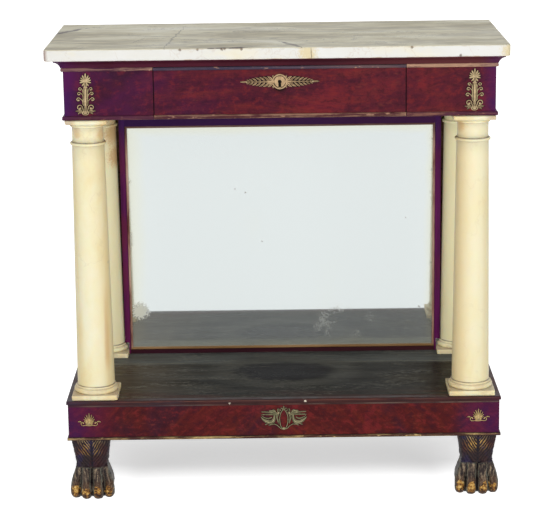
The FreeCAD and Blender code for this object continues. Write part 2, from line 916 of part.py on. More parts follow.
def mirror_rails():
    """Rails between the stiles, rebated for the glass."""
    low_edge = sight_low - size.glass_hold - size.glass_play
    high_edge = sight_high + size.glass_hold + size.glass_play
    lower = [
        (frame_front, shelf_top),
        (frame_back, shelf_top),
        (frame_back, low_edge),
        (glass_front, low_edge),
        (glass_front, sight_low - size.mirror_bead),
        (frame_front, sight_low - size.mirror_bead),
    ]
    upper = [
        (frame_front, sight_high + size.mirror_bead),
        (glass_front, sight_high + size.mirror_bead),
        (glass_front, high_edge),
        (frame_back, high_edge),
        (frame_back, case_bottom),
        (frame_front, case_bottom),
    ]
    pieces = []
    for word, section in (("lower", lower), ("upper", upper)):
        body = new_body(f"mirror_rail_{word}", (-bead_side, ZERO, ZERO))
        pad(body, "length", "YZ_Plane", section, bead_side * 2)
        pieces.append(body)
    return pieces


def mirror_bead_strips():
    """Four mitred strips round the glass, their noses towards the front."""
    wide = size.mirror_bead
    tall = size.mirror_bead_thick
    ease = wide * 0.4
    section = [
        (ZERO, ZERO),
        (wide, ZERO),
        (wide, tall - ease),
        (wide - ease, tall, ease, -1),
        (ease, tall),
        (ZERO, tall - ease, ease, -1),
    ]
    across = (sight_side + wide) * 2
    down = sight_high - sight_low + wide * 2
    corners = (
        ((sight_side, glass_front, sight_low - wide), down),
        ((sight_side + wide, glass_front, sight_high), across),
        ((-sight_side, glass_front, sight_high + wide), down),
        ((-sight_side - wide, glass_front, sight_low), across),
    )
    pieces = []
    for number, (place, run) in enumerate(corners):
        lean = FreeCAD.Rotation(Vector(1, 0, 0), 90)
        rotation = FreeCAD.Rotation(Vector(0, 1, 0), -90 * number).multiply(lean)
        span = (ZERO, wide, tall)
        name = f"mirror_bead_{number}"
        pieces.append(strip(name, place, rotation, section, span, run, ("start", "end")))
    return pieces


def mirror():
    """Frame, beaded slip, glass and backboard."""
    stiles = [mirror_stile(-1, "l"), mirror_stile(1, "r")]
    node(compound("mirror_stiles", stiles), "mirror_stiles")
    node(compound("mirror_rails", mirror_rails()), "mirror_rails")
    node(compound("mirror_bead", mirror_bead_strips()), "mirror_bead")
    side = sight_side + size.glass_hold
    low = sight_low - size.glass_hold
    high = sight_high + size.glass_hold
    back = glass_front + size.glass_thick
    node(box("mirror_glass", (-side, glass_front, low), (side, back, high)), "mirror_glass")
    board_back = back + size.mirror_board_thick
    board = box("mirror_backboard", (-side, back, low), (side, board_back, high))
    node(board, "mirror_backboard")


def rear_panel():
    """Thin panel that closes the back between the shelf and the case."""
    half = rear_panel_side
    low = base_height + size.column_clearance
    high = capital_zone - shelf_top - size.column_clearance
    right = [
        (stone_inside, ZERO),
        (stone_inside, low),
        (half, low),
        (half, high),
        (stone_inside, high),
        (stone_inside, size.column_height),
    ]
    left = [(-across, up) for across, up in reversed(right)]
    body = new_body("back_panel", (ZERO, case_back - size.rear_panel_thick, shelf_top))
    pad(body, "panel", "XZ_Plane", right + left, size.rear_panel_thick, reverse=True)
    node(body, "back_panel")


def plinth():
    """Plinth rails and bottom bead."""
    inside = plinth_side - size.plinth_rail
    rail_back = plinth_front + size.plinth_rail
    low = (-plinth_side, plinth_front, size.foot_height)
    front = box("plinth_front_board", low, (plinth_side, rail_back, shelf_bottom))
    holes = compound("plinth_front_holes", pin_holes("plinth", plinth_pins()))
    node(cut("plinth_front", front, holes), "plinth_front")
    low = (inside, rail_back, size.foot_height)
    sides = both_sides("plinth_side", low, (plinth_side, case_back, shelf_bottom))
    node(compound("plinth_sides", sides), "plinth_sides")
    low = (-inside, case_back - size.plinth_rail, size.foot_height)
    node(box("plinth_back", low, (inside, case_back, shelf_bottom)), "plinth_back")
    tall = size.plinth_bead_height
    faces = (plinth_side, plinth_front, size.foot_height)
    span = (ZERO, size.plinth_proud, tall)
    pieces = surround("plinth_bead", nose(tall, size.plinth_proud), span, faces)
    node(compound("plinth_bead", pieces), "plinth_bead")


def shelf():
    """Shelf board, bored for the tie rods, and its mitred edging."""
    inner = size.edging_width
    edge = plinth_side - inner
    low = (-edge, plinth_front + inner, shelf_bottom)
    board = box("shelf", low, (edge, case_back, shelf_top))
    hole = size.rod_radius + size.rod_play
    holes = [
        cylinder(f"shelf_hole_{n}", (x, y, shelf_bottom), hole, size.shelf_thick)
        for n, (x, y) in enumerate(COLUMNS)
    ]
    node(cut("shelf_board", board, compound("shelf_holes", holes)), "shelf_board")
    proud = size.plinth_proud
    tall = size.shelf_thick
    step = size.edging_step
    ease = proud * 0.7
    section = [
        (-inner, ZERO),
        (ZERO, ZERO),
        (ZERO, step),
        (proud - ease, step),
        (proud, step + ease, ease, -1),
        (proud, tall - ease),
        (proud - ease, tall, ease, -1),
        (-inner, tall),
    ]
    faces = (plinth_side, plinth_front, shelf_bottom)
    pieces = surround("shelf_edging", section, (inner, proud, tall), faces)
    node(compound("shelf_edging", pieces), "shelf_edging")


def plinth_blocks():
    """Corner blocks of the plinth, bored for the tie rods and the foot dowels."""
    outer = plinth_side - size.plinth_rail
    inner = outer - size.plinth_block
    front = plinth_front + size.plinth_rail
    back = case_back - size.plinth_rail
    low = size.foot_height
    blocks = []
    for start, end, name in (
        (front, front + size.plinth_block, "near_block"),
        (back - size.plinth_block, back, "far_block"),
    ):
        blocks += both_sides(name, (inner, start, low), (outer, end, shelf_bottom))
    start = shelf_bottom - size.rod_bite
    tools = [
        cylinder(f"plinth_rod_hole_{n}", (x, y, start), size.rod_radius, size.rod_bite)
        for n, (x, y) in enumerate(COLUMNS)
    ]
    tools += [
        cylinder(f"plinth_dowel_hole_{n}", (x, y, low), size.dowel_radius, size.dowel_rise)
        for n, (x, y) in enumerate(FEET)
    ]
    solids = compound("plinth_block_solids", blocks)
    node(cut("plinth_blocks", solids, compound("plinth_block_holes", tools)), "plinth_blocks")


def rear_feet():
    """Plain turned feet at the back, and the dowels of all four feet."""
    tall = size.foot_height
    socket = tall - size.dowel_drop
    toe = size.rear_foot_toe_radius
    pieces = []
    for number, (x, y) in enumerate(FEET[2:]):
        body = new_body(f"rear_foot_{number}", (x, y, ZERO))
        section = [
            (ZERO, ZERO),
            (toe, ZERO),
            (toe * 1.25, tall / 8),
            (toe, tall / 4),
            (size.rear_foot_radius, tall * 0.8),
            (size.rear_foot_radius, tall),
            (size.dowel_radius, tall),
            (size.dowel_radius, socket),
            (ZERO, socket),
        ]
        turn(body, "foot", section)
        pieces.append(body)
    node(compound("rear_feet", pieces), "rear_feet")
    length = size.dowel_drop + size.dowel_rise
    dowels = [
        cylinder(f"dowel_{n}", (x, y, socket), size.dowel_radius, length)
        for n, (x, y) in enumerate(FEET)
    ]
    node(compound("foot_dowels", dowels), "foot_dowels")


def rounded_rectangle(half, front, back, high):
    """A closed wire at a height: a rectangle, -half to half by front to back, with round
    corners."""
    reach = (back - front) / 2
    corner = min(half, reach) * 0.45
    edges = []
    ends = []
    for quarter in range(4):
        centre_x = (half - corner) * (1 if quarter in (0, 3) else -1)
        centre_y = (front + back) / 2 + (reach - corner) * (1 if quarter < 2 else -1)
        bend = []
        for step in (0, 45, 90):
            angle = math.radians(quarter * 90 + step)
            across = centre_x + corner * math.cos(angle)
            bend.append(Vector(across, centre_y + corner * math.sin(angle), high))
        edges.append(Part.Arc(*bend).toShape())
        ends.append((bend[0], bend[2]))
    for quarter in range(4):
        line = Part.makeLine(ends[quarter][1], ends[(quarter + 1) % 4][0])
        edges.insert(quarter * 2 + 1, line)
    return Part.Wire(edges)


def paw_leg():
    """The leg of a front foot: square head, narrow ankle, swelling instep and heel."""
    top = float(size.foot_top_side) / 2
    ankle = float(size.ankle_side) / 2
    tall = float(size.foot_height)
    heel = float(size.foot_depth) - top
    sections = [
        (top, -top, top, tall),
        (top - 1, -top + 1, top - 1, tall * 0.9),
        (ankle + 1.5, -ankle - 2, ankle + 2, tall * 0.72),
        (ankle, -ankle, ankle, float(size.ankle_height)),
        (ankle + 3, -ankle - 1, ankle + 8, tall * 0.44),
        (ankle + 8, -ankle + 2, heel - 12, tall * 0.25),
        (ankle + 7, -ankle + 2, heel - 6, tall * 0.1),
        (ankle + 3, -ankle + 4, heel - 10, 0.0),
    ]
    return Part.makeLoft([rounded_rectangle(*section) for section in sections], True, True)


def paw_toe(offset):
    """One toe: round sections that come forward as they go down."""
    thick = float(size.toe_width) / 2
    front = -float(size.foot_top_side) / 2 - float(size.toe_reach)
    rise = float(size.toe_rise)
    curl = abs(offset) / float(size.toe_pitch) * 1.5
    sections = [
        (0.80, 0.62, 17, 1.0),
        (0.88, 0.86, 9, 0.80),
        (0.96, 1.00, 3, 0.58),
        (1.00, 0.98, 0.5, 0.40),
        (1.00, 0.90, 0.5, 0.22),
        (1.00, 0.72, 3, 0.0),
    ]
    wires = []
    for spread, girth, back, high in sections:
        centre = Vector(offset * spread, front + back + curl + thick, rise * high)
        circle = Part.Circle(centre, Vector(0, 0, 1), thick * girth)
        wires.append(Part.Wire(circle.toShape()))
    return Part.makeLoft(wires, True, True)


def paw_feet():
    """The two carved front feet, each from one block, with a socket for its dowel."""
    toes = [paw_toe(float(size.toe_pitch) * step) for step in (-1.5, -0.5, 0.5, 1.5)]
    drop = float(size.dowel_drop)
    low = Vector(0, 0, float(size.foot_height) - drop)
    socket = Part.makeCylinder(float(size.dowel_radius), drop, low)
    shape = paw_leg().multiFuse(toes).cut(socket)
    for (x, y), word in zip(FEET[:2], ("left", "right")):
        foot = doc.addObject("Part::Feature", f"paw_foot_{word}")
        foot.Shape = shape
        node(move(foot, (x, y, ZERO)), f"paw_foot_{word}")


def relief(wire):
    """Gives an outline in the plane y = 0 the thickness of a mount."""
    return Part.Face(wire).extrude(Vector(0, -float(size.mount_thick), 0))


def leaf(grid, root, degrees, length, width):
    """A pointed leaf that grows from its root (across, up), in steps of the grid."""
    angle = math.radians(degrees)
    along = Vector(math.cos(angle), 0, math.sin(angle)) * float(grid)
    across = Vector(-along.z, 0, along.x) * (width / 2)
    start = Vector(root[0], 0, root[1]) * float(grid)
    tip = start + along * length
    belly = start + along * (length * 0.55)
    one_side = Part.Arc(start, belly + across, tip).toShape()
    other_side = Part.Arc(tip, belly - across, start).toShape()
    return relief(Part.Wire([one_side, other_side]))


def disc(grid, across, up, radius):
    """A round boss, in steps of the grid."""
    centre = Vector(across, 0, up) * float(grid)
    circle = Part.Circle(centre, Vector(0, 1, 0), radius * float(grid))
    return relief(Part.Wire(circle.toShape()))


def fan(grid, root, length, width, lean, count):
    """Leaves spread evenly about the upright, the outer ones shorter."""
    leaves = []
    for number in range(count):
        turned = (number - (count - 1) / 2) * lean
        shorter = length * (1 - 0.0035 * abs(turned))
        leaves.append(leaf(grid, root, 90 - turned, shorter, width))
    return leaves


def frieze_mount_shapes():
    """Palmette over a lance leaf with three pairs of scrolls, on a half-round base."""
    grid = frieze_grid
    shapes = fan(grid, (0, 62), 28, 7, 25, 7)
    shapes += [leaf(grid, (0, 4), 90, 64, 9), disc(grid, 0, 62, 5.5), disc(grid, 0, 8, 8)]
    for side in (-1, 1):
        for level, reach, girth in ((47, 11, 3.6), (32, 13, 4.4), (14, 15, 6.0)):
            shapes.append(leaf(grid, (0, level - 10), 90 - side * 48, reach * 1.5, 6.5))
            shapes.append(disc(grid, side * reach, level, girth))
        shapes.append(leaf(grid, (0, 5), 90 - side * 72, 20, 7))
    return shapes


def plinth_corner_shapes():
    """Small palmette between two scrolls."""
    grid = corner_grid
    shapes = fan(grid, (0, 6), 25, 7, 26, 7) + [disc(grid, 0, 7, 6)]
    for side in (-1, 1):
        shapes.append(leaf(grid, (0, 7), 90 - side * 88, 26, 8))
        shapes.append(disc(grid, side * 18, 8, 6))
        shapes.append(disc(grid, side * 20, 16, 4.5))
    return shapes


def plinth_centre_shapes():
    """Two spread wings either side of a pointed oval with a palmette above."""
    grid = centre_grid
    shapes = fan(grid, (0, 38), 18, 6, 30, 5)
    shapes += [leaf(grid, (0, 2), 90, 44, 22), disc(grid, 0, 6, 5)]
    for side in (-1, 1):
        shapes.append(leaf(grid, (0, 4), 90 - side * 42, 34, 9))
        for step in range(4):
            lean = 90 - side * (48 + 14 * step)
            shapes.append(leaf(grid, (side * 6, 22), lean, 49 - 3 * step, 8))
        shapes.append(disc(grid, side * 12, 40, 5))
    return shapes


def escutcheon_shapes():
    """Round boss with a laurel spray on each side."""
    grid = spray_grid
    boss = float(size.escutcheon_boss) / 2 / float(grid)
    reach = float(size.escutcheon_length) / 2 / float(grid)
    shapes = [disc(grid, 0, 0, boss)]
    for side in (-1, 1):
        outward = 90 - side * 90
        shapes.append(leaf(grid, (side * (boss - 3), 0), outward, reach - boss + 3, 6))
        for pair in range(6):
            root = (side * (boss + 1 + pair * 8.5), 0)
            for tilt in (-42, 42):
                shapes.append(leaf(grid, root, outward + tilt, 16 - pair * 1.2, 5.5))
    return shapes


def mount(name, shapes, place, pins, opening=None):
    """A cast mount from overlapping outlines, drilled for its pins."""
    fused = shapes[0].multiFuse(shapes[1:]).removeSplitter()
    x, _, z = (float(value) for value in place)
    radius = float(size.pin_radius)
    reach = float(size.mount_thick) * 2
    for pin_x, _, pin_z in pins:
        start = Vector(float(pin_x) - x, -reach, float(pin_z) - z)
        fused = fused.cut(Part.makeCylinder(radius, reach * 2, start, Vector(0, 1, 0)))
    if opening is not None:
        fused = fused.cut(opening)
    made = doc.addObject("Part::Feature", name)
    made.Shape = fused
    return move(made, place)


def frieze_mount_place(side):
    """Foot of a frieze mount."""
    return (side * column_x, case_front, frieze_bottom + size.frieze_mount_up)


def frieze_pins(side):
    """Pin positions of one frieze mount."""
    x, face, z = frieze_mount_place(side)
    return [(x, face, z + frieze_grid * 8), (x, face, z + frieze_grid * 62)]


def plinth_corner_place(side):
    """Foot of a plinth corner mount."""
    across = foot_x + size.corner_mount_out
    return (side * across, plinth_front, size.foot_height + size.corner_mount_up)


def plinth_centre_place():
    """Foot of the plinth's centre mount."""
    return (ZERO, plinth_front, size.foot_height + size.centre_mount_up)


def plinth_pins():
    """Pin positions of the plinth mounts: left, right, then two in the middle."""
    pins = []
    for side in (-1, 1):
        x, face, z = plinth_corner_place(side)
        pins.append((x, face, z + corner_grid * 7))
    x, face, z = plinth_centre_place()
    across = centre_grid * 12
    high = z + centre_grid * 40
    return pins + [(x - across, face, high), (x + across, face, high)]


def escutcheon_pins():
    """Pin positions of the escutcheon."""
    across = size.escutcheon_length / 2 - spray_grid * 14
    return [(-across, case_front, keyhole_z), (across, case_front, keyhole_z)]


def pin_holes(name, pins):
    """Round holes behind the pins."""
    return [
        bar(f"{name}_pin_hole_{n}", place, size.pin_radius, size.pin_depth)
        for n, place in enumerate(pins)
    ]


def pin_solids(name, pins):
    """Pins: a shank through the mount into the wood, a flat head in front."""
    solids = []
    for number, (x, face, z) in enumerate(pins):
        front = face - size.mount_thick
        length = size.mount_thick + size.pin_depth
        shank = bar(f"{name}_shank_{number}", (x, front, z), size.pin_radius, length)
        tip = (x, front - size.pin_head_height, z)
        head = bar(f"{name}_head_{number}", tip, size.pin_head_radius, size.pin_head_height)
        solids.append(fuse(f"{name}_{number}", [shank, head]))
    return solids


def mounts():
    """The brass mounts of the frieze and the plinth, and their pins."""
    all_pins = []
    for side, word in ((-1, "left"), (1, "right")):
        pins = frieze_pins(side)
        all_pins += pins
        name = f"frieze_mount_{word}"
        node(mount(name, frieze_mount_shapes(), frieze_mount_place(side), pins), name)
    pins = plinth_pins()
    all_pins += pins
    corners = [
        mount(f"corner_mount_{n}", plinth_corner_shapes(), plinth_corner_place(side), [pins[n]])
        for n, side in enumerate((-1, 1))
    ]
    node(compound("plinth_corner_mounts", corners), "plinth_corner_mounts")
    name = "plinth_mount_centre"
    node(mount(name, plinth_centre_shapes(), plinth_centre_place(), pins[2:]), name)
    node(compound("mount_pins", pin_solids("mount_pin", all_pins)), "mount_pins")


def escutcheon():
    """The keyhole plate and its pins."""
    half = float(size.keyhole_slot) / 2
    drop = float(size.keyhole_drop)
    reach = float(size.mount_thick) * 2
    slot = Part.makeBox(half * 2, reach * 2, drop, Vector(-half, -reach, -drop))
    front = Vector(0, -reach, 0)
    eye = Part.makeCylinder(float(size.keyhole_radius), reach * 2, front, Vector(0, 1, 0))
    pins = escutcheon_pins()
    place = (ZERO, case_front, keyhole_z)
    node(mount("escutcheon", escutcheon_shapes(), place, pins, eye.fuse(slot)), "escutcheon")
    node(compound("escutcheon_pins", pin_solids("escutcheon_pin", pins)), "escutcheon_pins")


def export():
    """Checks every object, then writes one file for each node."""
    doc.recompute()
    for thing in doc.Objects:
        if "Invalid" in thing.State or "Error" in thing.State:
            raise RuntimeError(f"{thing.Name}: {thing.State}")
    os.makedirs("parts", exist_ok=True)
    for thing in nodes:
        if thing.Shape.isNull() or not thing.Shape.isValid():
            raise RuntimeError(f"{thing.Label}: shape not valid")
        thing.Shape.exportStep(f"parts/{thing.Label}.step")


marble_top()
cornice()
case_beads()
frieze_panels()
frieze_blocks()
drawer_rails()
drawer_runners()
drawer_front()
drawer_box_pieces()
drawer_beads()
lock()
escutcheon()
columns()
tie_rods()
mirror()
rear_panel()
plinth()
shelf()
plinth_blocks()
rear_feet()
paw_feet()
mounts()
export()
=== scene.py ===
"""Pier table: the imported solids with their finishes, and the carved, cast and turned
pieces that take the place of their plain solids. Metres, in the frame of the solids; the
shapes of the new pieces are worked out in millimetres."""

import math

import bmesh
import bpy
import numpy as np
from mathutils import Matrix, Vector, noise


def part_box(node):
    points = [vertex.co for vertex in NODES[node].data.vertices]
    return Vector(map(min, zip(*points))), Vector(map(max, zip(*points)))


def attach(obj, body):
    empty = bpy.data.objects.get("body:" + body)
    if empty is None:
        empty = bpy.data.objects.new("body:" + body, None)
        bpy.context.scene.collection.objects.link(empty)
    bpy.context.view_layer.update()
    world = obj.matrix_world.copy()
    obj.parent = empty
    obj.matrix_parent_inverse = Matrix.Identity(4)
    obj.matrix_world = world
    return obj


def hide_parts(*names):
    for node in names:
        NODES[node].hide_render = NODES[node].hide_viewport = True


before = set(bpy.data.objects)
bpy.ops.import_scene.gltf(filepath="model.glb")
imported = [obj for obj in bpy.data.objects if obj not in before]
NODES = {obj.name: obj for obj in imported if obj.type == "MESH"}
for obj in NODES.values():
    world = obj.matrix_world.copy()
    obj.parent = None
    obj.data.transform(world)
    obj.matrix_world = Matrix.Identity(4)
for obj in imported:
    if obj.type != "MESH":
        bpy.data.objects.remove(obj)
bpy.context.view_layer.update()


def box_middle(node):
    """Middle of a node's box."""
    low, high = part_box(node)
    return (low + high) / 2


MM = 0.001
FRIEZE_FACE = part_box("drawer_front")[0].y
PLINTH_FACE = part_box("plinth_front")[0].y
COLUMN_X = box_middle("base_front_right").x
PAW_X = box_middle("paw_foot_right").x
TOP_LEFT, TOP_FRONT, TOP_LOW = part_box("marble_top")[0]
TOP_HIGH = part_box("marble_top")[1].z
DRAWER_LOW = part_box("drawer_front")[0].z
DRAWER_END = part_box("drawer_front")[1].x
SHELF_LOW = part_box("shelf_edging")[0].z
SHELF_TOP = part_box("shelf_edging")[1].z
CASE_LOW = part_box("capital_front_right")[1].z
FRIEZE_END = 0.452  # where the violet cast, part old polish and part painted reflection, is strongest
SLIP_COVER = 0.0055  # how far the mirror's slip covers its glass
GLASS_LOW, GLASS_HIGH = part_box("mirror_glass")
MIRROR_SIDE = GLASS_HIGH.x - SLIP_COVER
MIRROR_LOW = GLASS_LOW.z + SLIP_COVER
MIRROR_HIGH = GLASS_HIGH.z - SLIP_COVER


# ---------------------------------------------------------------- materials


class Value:
    """What a node gives, with plain arithmetic for numbers."""

    def __init__(self, tree, socket):
        self.tree = tree
        self.socket = socket

    def band(self, low, high, start=0, end=1):
        """Smooth step from start to end as the value goes from low to high."""
        numbers = (self, low, high, start, end)
        return self.tree.node("MapRange", numbers, interpolation_type="SMOOTHSTEP")

    def __add__(self, other):
        return self.tree.math("ADD", self, other)

    def __sub__(self, other):
        return self.tree.math("SUBTRACT", self, other)

    def __rsub__(self, other):
        return self.tree.math("SUBTRACT", other, self)

    def __mul__(self, other):
        return self.tree.math("MULTIPLY", self, other)

    def __truediv__(self, other):
        return self.tree.math("DIVIDE", self, other)

    def __pow__(self, other):
        return self.tree.math("POWER", self, other)

    def __abs__(self):
        return self.tree.math("ABSOLUTE", self)


class Tree:
    """A node tree: short calls that add and link its nodes."""

    def __init__(self, node_tree):
        self.nodes = node_tree.nodes
        self.links = node_tree.links

    def feed(self, socket, value):
        """Links what a node gives, or sets a plain value."""
        if isinstance(value, Value):
            self.links.new(value.socket, socket)
        elif socket.type == "RGBA":
            socket.default_value = (*value, 1)
        else:
            socket.default_value = value

    def node(self, kind, values=(), output=0, **settings):
        """What a new node gives; the values feed its inputs, in order or by name."""
        made = self.nodes.new("ShaderNode" + kind)
        for key, setting in settings.items():
            setattr(made, key, setting)
        for key, value in values.items() if isinstance(values, dict) else enumerate(values):
            self.feed(made.inputs[key], value)
        return Value(self, made.outputs[output])

    def math(self, operation, *values):
        return self.node("Math", values, operation=operation)

    def most(self, first, *others):
        for other in others:
            first = self.math("MAXIMUM", first, other)
        return first

    def least(self, first, *others):
        for other in others:
            first = self.math("MINIMUM", first, other)
        return first

    def any_ray(self, *kinds):
        """One for rays of any of the kinds, nothing for the rest."""
        return self.most(*(self.node("LightPath", (), f"Is {kind} Ray") for kind in kinds))


class Paint(Tree):
    """A procedural material; its colour is laid on coat by coat."""

    def __init__(self, name, **sockets):
        self.mat = bpy.data.materials.new(name)
        self.mat.use_nodes = True
        super().__init__(self.mat.node_tree)
        self.shader = self.nodes["Principled BSDF"]
        for socket, value in sockets.items():
            self.shader.inputs[socket.replace("_", " ")].default_value = value
        self.place = self.node("TexCoord", (), "Object")
        self.x, self.y, self.z = self.split(self.place)
        self.colour = None

    def split(self, vector):
        node = self.node("SeparateXYZ", [vector]).socket.node
        return [Value(self, output) for output in node.outputs]

    def join(self, x, y, z):
        return self.node("CombineXYZ", (x, y, z))

    def stretch(self, scale, place=None):
        """The place with each axis scaled."""
        return self.node("Mapping", {"Vector": place or self.place, "Scale": scale})

    def noise(self, scale, detail=4, rough=0.55, place=None, twist=0, output="Fac"):
        """Noise of one scale, or of one for each axis."""
        place = place or self.place
        if isinstance(scale, tuple):
            place = self.stretch(scale, place)
            scale = 1
        values = {"Vector": place, "Scale": scale, "Detail": detail, "Roughness": rough,
                  "Distortion": twist}
        return self.node("TexNoise", values, output)

    def cells(self, place, scale):
        return self.node("TexVoronoi", {"Vector": place, "Scale": scale}, "Distance")

    def warp(self, amount, scale, place=None, detail=3):
        """The place pushed about by a noise."""
        place = place or self.place
        push = self.noise(scale, detail, place=place, output="Color")
        return self.node("VectorMath", (push, [amount] * 3, place), operation="MULTIPLY_ADD")

    def mix(self, factor, a, b):
        return self.node("Mix", {0: factor, 6: a, 7: b}, 2, data_type="RGBA")

    def tint(self, factor, colour):
        """Lays a coat of the colour where the factor is one."""
        self.colour = self.mix(factor, self.colour, colour)

    def ramp(self, factor, *stops):
        """A colour between stops (position, colour)."""
        made = self.node("ValToRGB", [factor])
        points = made.socket.node.color_ramp.elements
        while len(points) < len(stops):
            points.new(0.5)
        for point, (position, colour) in zip(points, stops):
            point.position = position
            point.color = (*colour, 1)
        return made

    def attribute(self, name):
        return self.node("Attribute", (), "Fac", attribute_name=name)

    def spots(self, points, radius, ragged=0):
        """One at any of the points, falling to nothing at the radius."""
        place = self.warp(ragged, 300, detail=2) if ragged else self.place
        spots = []
        for point in points:
            centre = [value + ragged / 2 for value in point]
            off = self.node("VectorMath", (place, centre), "Value", operation="DISTANCE")
            spots.append(off.band(radius * 0.35, radius, 1, 0))
        return self.most(*spots)

    def finish(self, rough, height, strength, depth, **others):
        """Links the colour, the roughness and the bump to the shader."""
        bump = self.node("Bump", {"Strength": strength, "Distance": depth, "Height": height})
        results = {"Base Color": self.colour, "Roughness": rough, "Normal": bump, **others}
        for socket, value in results.items():
            self.feed(self.shader.inputs[socket], value)
        return self.mat


def shades(colour, factor):
    """The colour made lighter or darker."""
    return [value * factor for value in colour]


def line_mask(p, place, start, end, width):
    """One on the line from start to end (x, y), nothing at its width on either side; the
    line tapers toward both ends."""
    across, up, _ = p.split(place)
    along = Vector((end[0] - start[0], end[1] - start[1]))
    length = along.length
    along /= length
    from_x = across - start[0]
    from_y = up - start[1]
    run = from_x * along.x + from_y * along.y
    off = abs(from_x * -along.y + from_y * along.x)
    taper = p.least(run.band(0, length * 0.4, 0.1, 1), run.band(length * 0.6, length, 1, 0.1))
    near = (off / taper).band(width * 0.3, width, 1, 0)
    inside = run.band(-0.001, 0.001) * run.band(length - 0.001, length + 0.001, 1, 0)
    return near * inside


def veined_marble():
    """White slab, darker grey-beige on top in part as painted shade, with soft clouds, thin veins and
    old chips.
    """
    p = Paint("veined_marble", Specular_IOR_Level=0.2)
    place = p.warp(0.1, 5)
    cloud = p.noise((3.6, 9.5, 5), 8, 0.66, place=place)
    p.colour = p.ramp(cloud, (0.32, (0.42, 0.365, 0.225)), (0.45, (0.64, 0.58, 0.385)),
                      (0.54, (0.78, 0.73, 0.515)), (0.66, (0.9, 0.87, 0.69)))
    soft = p.noise((2.2, 8, 4), 5, 0.6, place=place)
    drift = abs(soft - 0.5).band(0, 0.05, 1, 0)
    p.tint(drift * 0.45, (0.34, 0.305, 0.225))
    thread = p.noise((4.4, 10, 5), 7, 0.65, place=p.warp(0.06, 14, place))
    fine = abs(thread - 0.53).band(0, 0.01, 1, 0) * p.noise(6, 3).band(0.44, 0.58)
    p.tint(fine * 0.6, (0.17, 0.14, 0.12))
    streak = p.noise((7, 30, 5), 6, 0.7, place=p.warp(0.03, 12, place))
    p.tint(streak.band(0.56, 0.72, 0, 0.4), (0.84, 0.81, 0.7))
    front = p.y.band(TOP_FRONT + 0.0165, TOP_FRONT + 0.003, 0, 0.75)
    p.tint(front * streak.band(0.4, 0.55, 1, 0.4), (0.8, 0.76, 0.58))
    spot = p.noise((24, 60, 20), 5, 0.7).band(0.58, 0.72, 0, 0.5)
    p.tint(spot, (0.4, 0.31, 0.2))
    shaky = p.warp(0.012, 60, p.warp(0.018, 22))
    broken = p.noise((70, 110, 60), 4, 0.7).band(0.36, 0.52, 0.45, 1)
    # Start and end (x, y), half width, and how dark it is.
    cracks = (
        ((-0.484, 0.038), (-0.412, 0.160), 0.0135, 1.0),
        ((-0.228, -0.250), (-0.192, 0.190), 0.0030, 0.60),
        ((-0.165, 0.040), (-0.120, 0.060), 0.0080, 0.55),
        ((0.012, -0.090), (0.064, -0.212), 0.0080, 0.90),
        ((0.040, -0.150), (0.020, -0.165), 0.0040, 0.60),
        ((-0.150, -0.204), (-0.030, -0.182), 0.0130, 1.0),
        ((-0.300, -0.120), (-0.262, 0.010), 0.0018, 0.40),
        ((0.120, 0.090), (0.190, 0.060), 0.0060, 0.35),
    )
    for start, end, width, strength in cracks:
        mask = line_mask(p, shaky, start, end, width) * strength
        p.tint(mask * broken, (0.046, 0.028, 0.02))
    tint = p.noise((8, 9, 16), 5, 0.6)
    # The colours so far are for the top face; the sides get a paler ramp, so the top reads darker:
    # partly aged tone, partly painted shade.
    top = p.colour
    p.colour = p.ramp(tint, (0.35, (0.77, 0.765, 0.735)), (0.53, (0.75, 0.74, 0.69)),
                      (0.66, (0.79, 0.75, 0.62)), (0.76, (0.76, 0.69, 0.5)))
    hair = abs(p.noise(11, 5, place=place) - 0.5).band(0, 0.01, 1, 0)
    p.tint(hair * 0.25, (0.55, 0.44, 0.34))
    yellow = p.spots([(0.058, -0.212, 0.966), (0.475, -0.212, 0.965)], 0.026, 0.03)
    p.tint(yellow * 0.7, (0.7, 0.56, 0.26))
    upright = p.join(p.x, p.z, 0)
    split = line_mask(p, p.warp(0.004, 60, upright), (0.068, 0.945), (0.067, 0.985), 0.0013)
    split = split * p.y.band(TOP_FRONT + 0.0125, TOP_FRONT + 0.0025, 0, 0.75)
    p.tint(split, (0.2, 0.13, 0.08))
    corner = p.x.band(TOP_LEFT + 0.011, TOP_LEFT + 0.0015)
    corner = corner * p.y.band(TOP_FRONT + 0.0225, TOP_FRONT + 0.0085)
    p.tint(corner * 0.7, (0.36, 0.2, 0.15))
    # The top face takes the darker top colour, partly painted shade.
    high = p.z.band(TOP_HIGH - 0.0025, TOP_HIGH - 0.0002)
    p.tint(high, top)
    chips = [(x * MM, -0.2115, 0.9755) for x in (-204, -168, -118, -78)]
    chips += [(-0.112, -0.211, 0.9765), (0.272, -0.2115, 0.975), (0.372, -0.212, 0.957),
              (-0.48, -0.206, 0.955)]
    p.tint(p.spots(chips, 0.0042, 0.004) * 0.8, (0.13, 0.085, 0.05))
    lower = p.z.band(TOP_LOW + 0.0005, TOP_LOW + 0.0028, 1, 0)
    upper = p.z.band(TOP_HIGH - 0.0042, TOP_HIGH - 0.0012, 0, 0.8)
    worn = p.most(lower, upper) * (1 - high)
    worn = worn * p.noise(45, 3).band(0.5, 0.66)
    p.tint(worn * 0.7, (0.5, 0.36, 0.2))
    rough = cloud.band(0.3, 0.8, 0.42, 0.3)
    height = p.noise(60, 4) * 0.4 + fine * -0.6
    return p.finish(rough, height, 0.12, 0.0006)


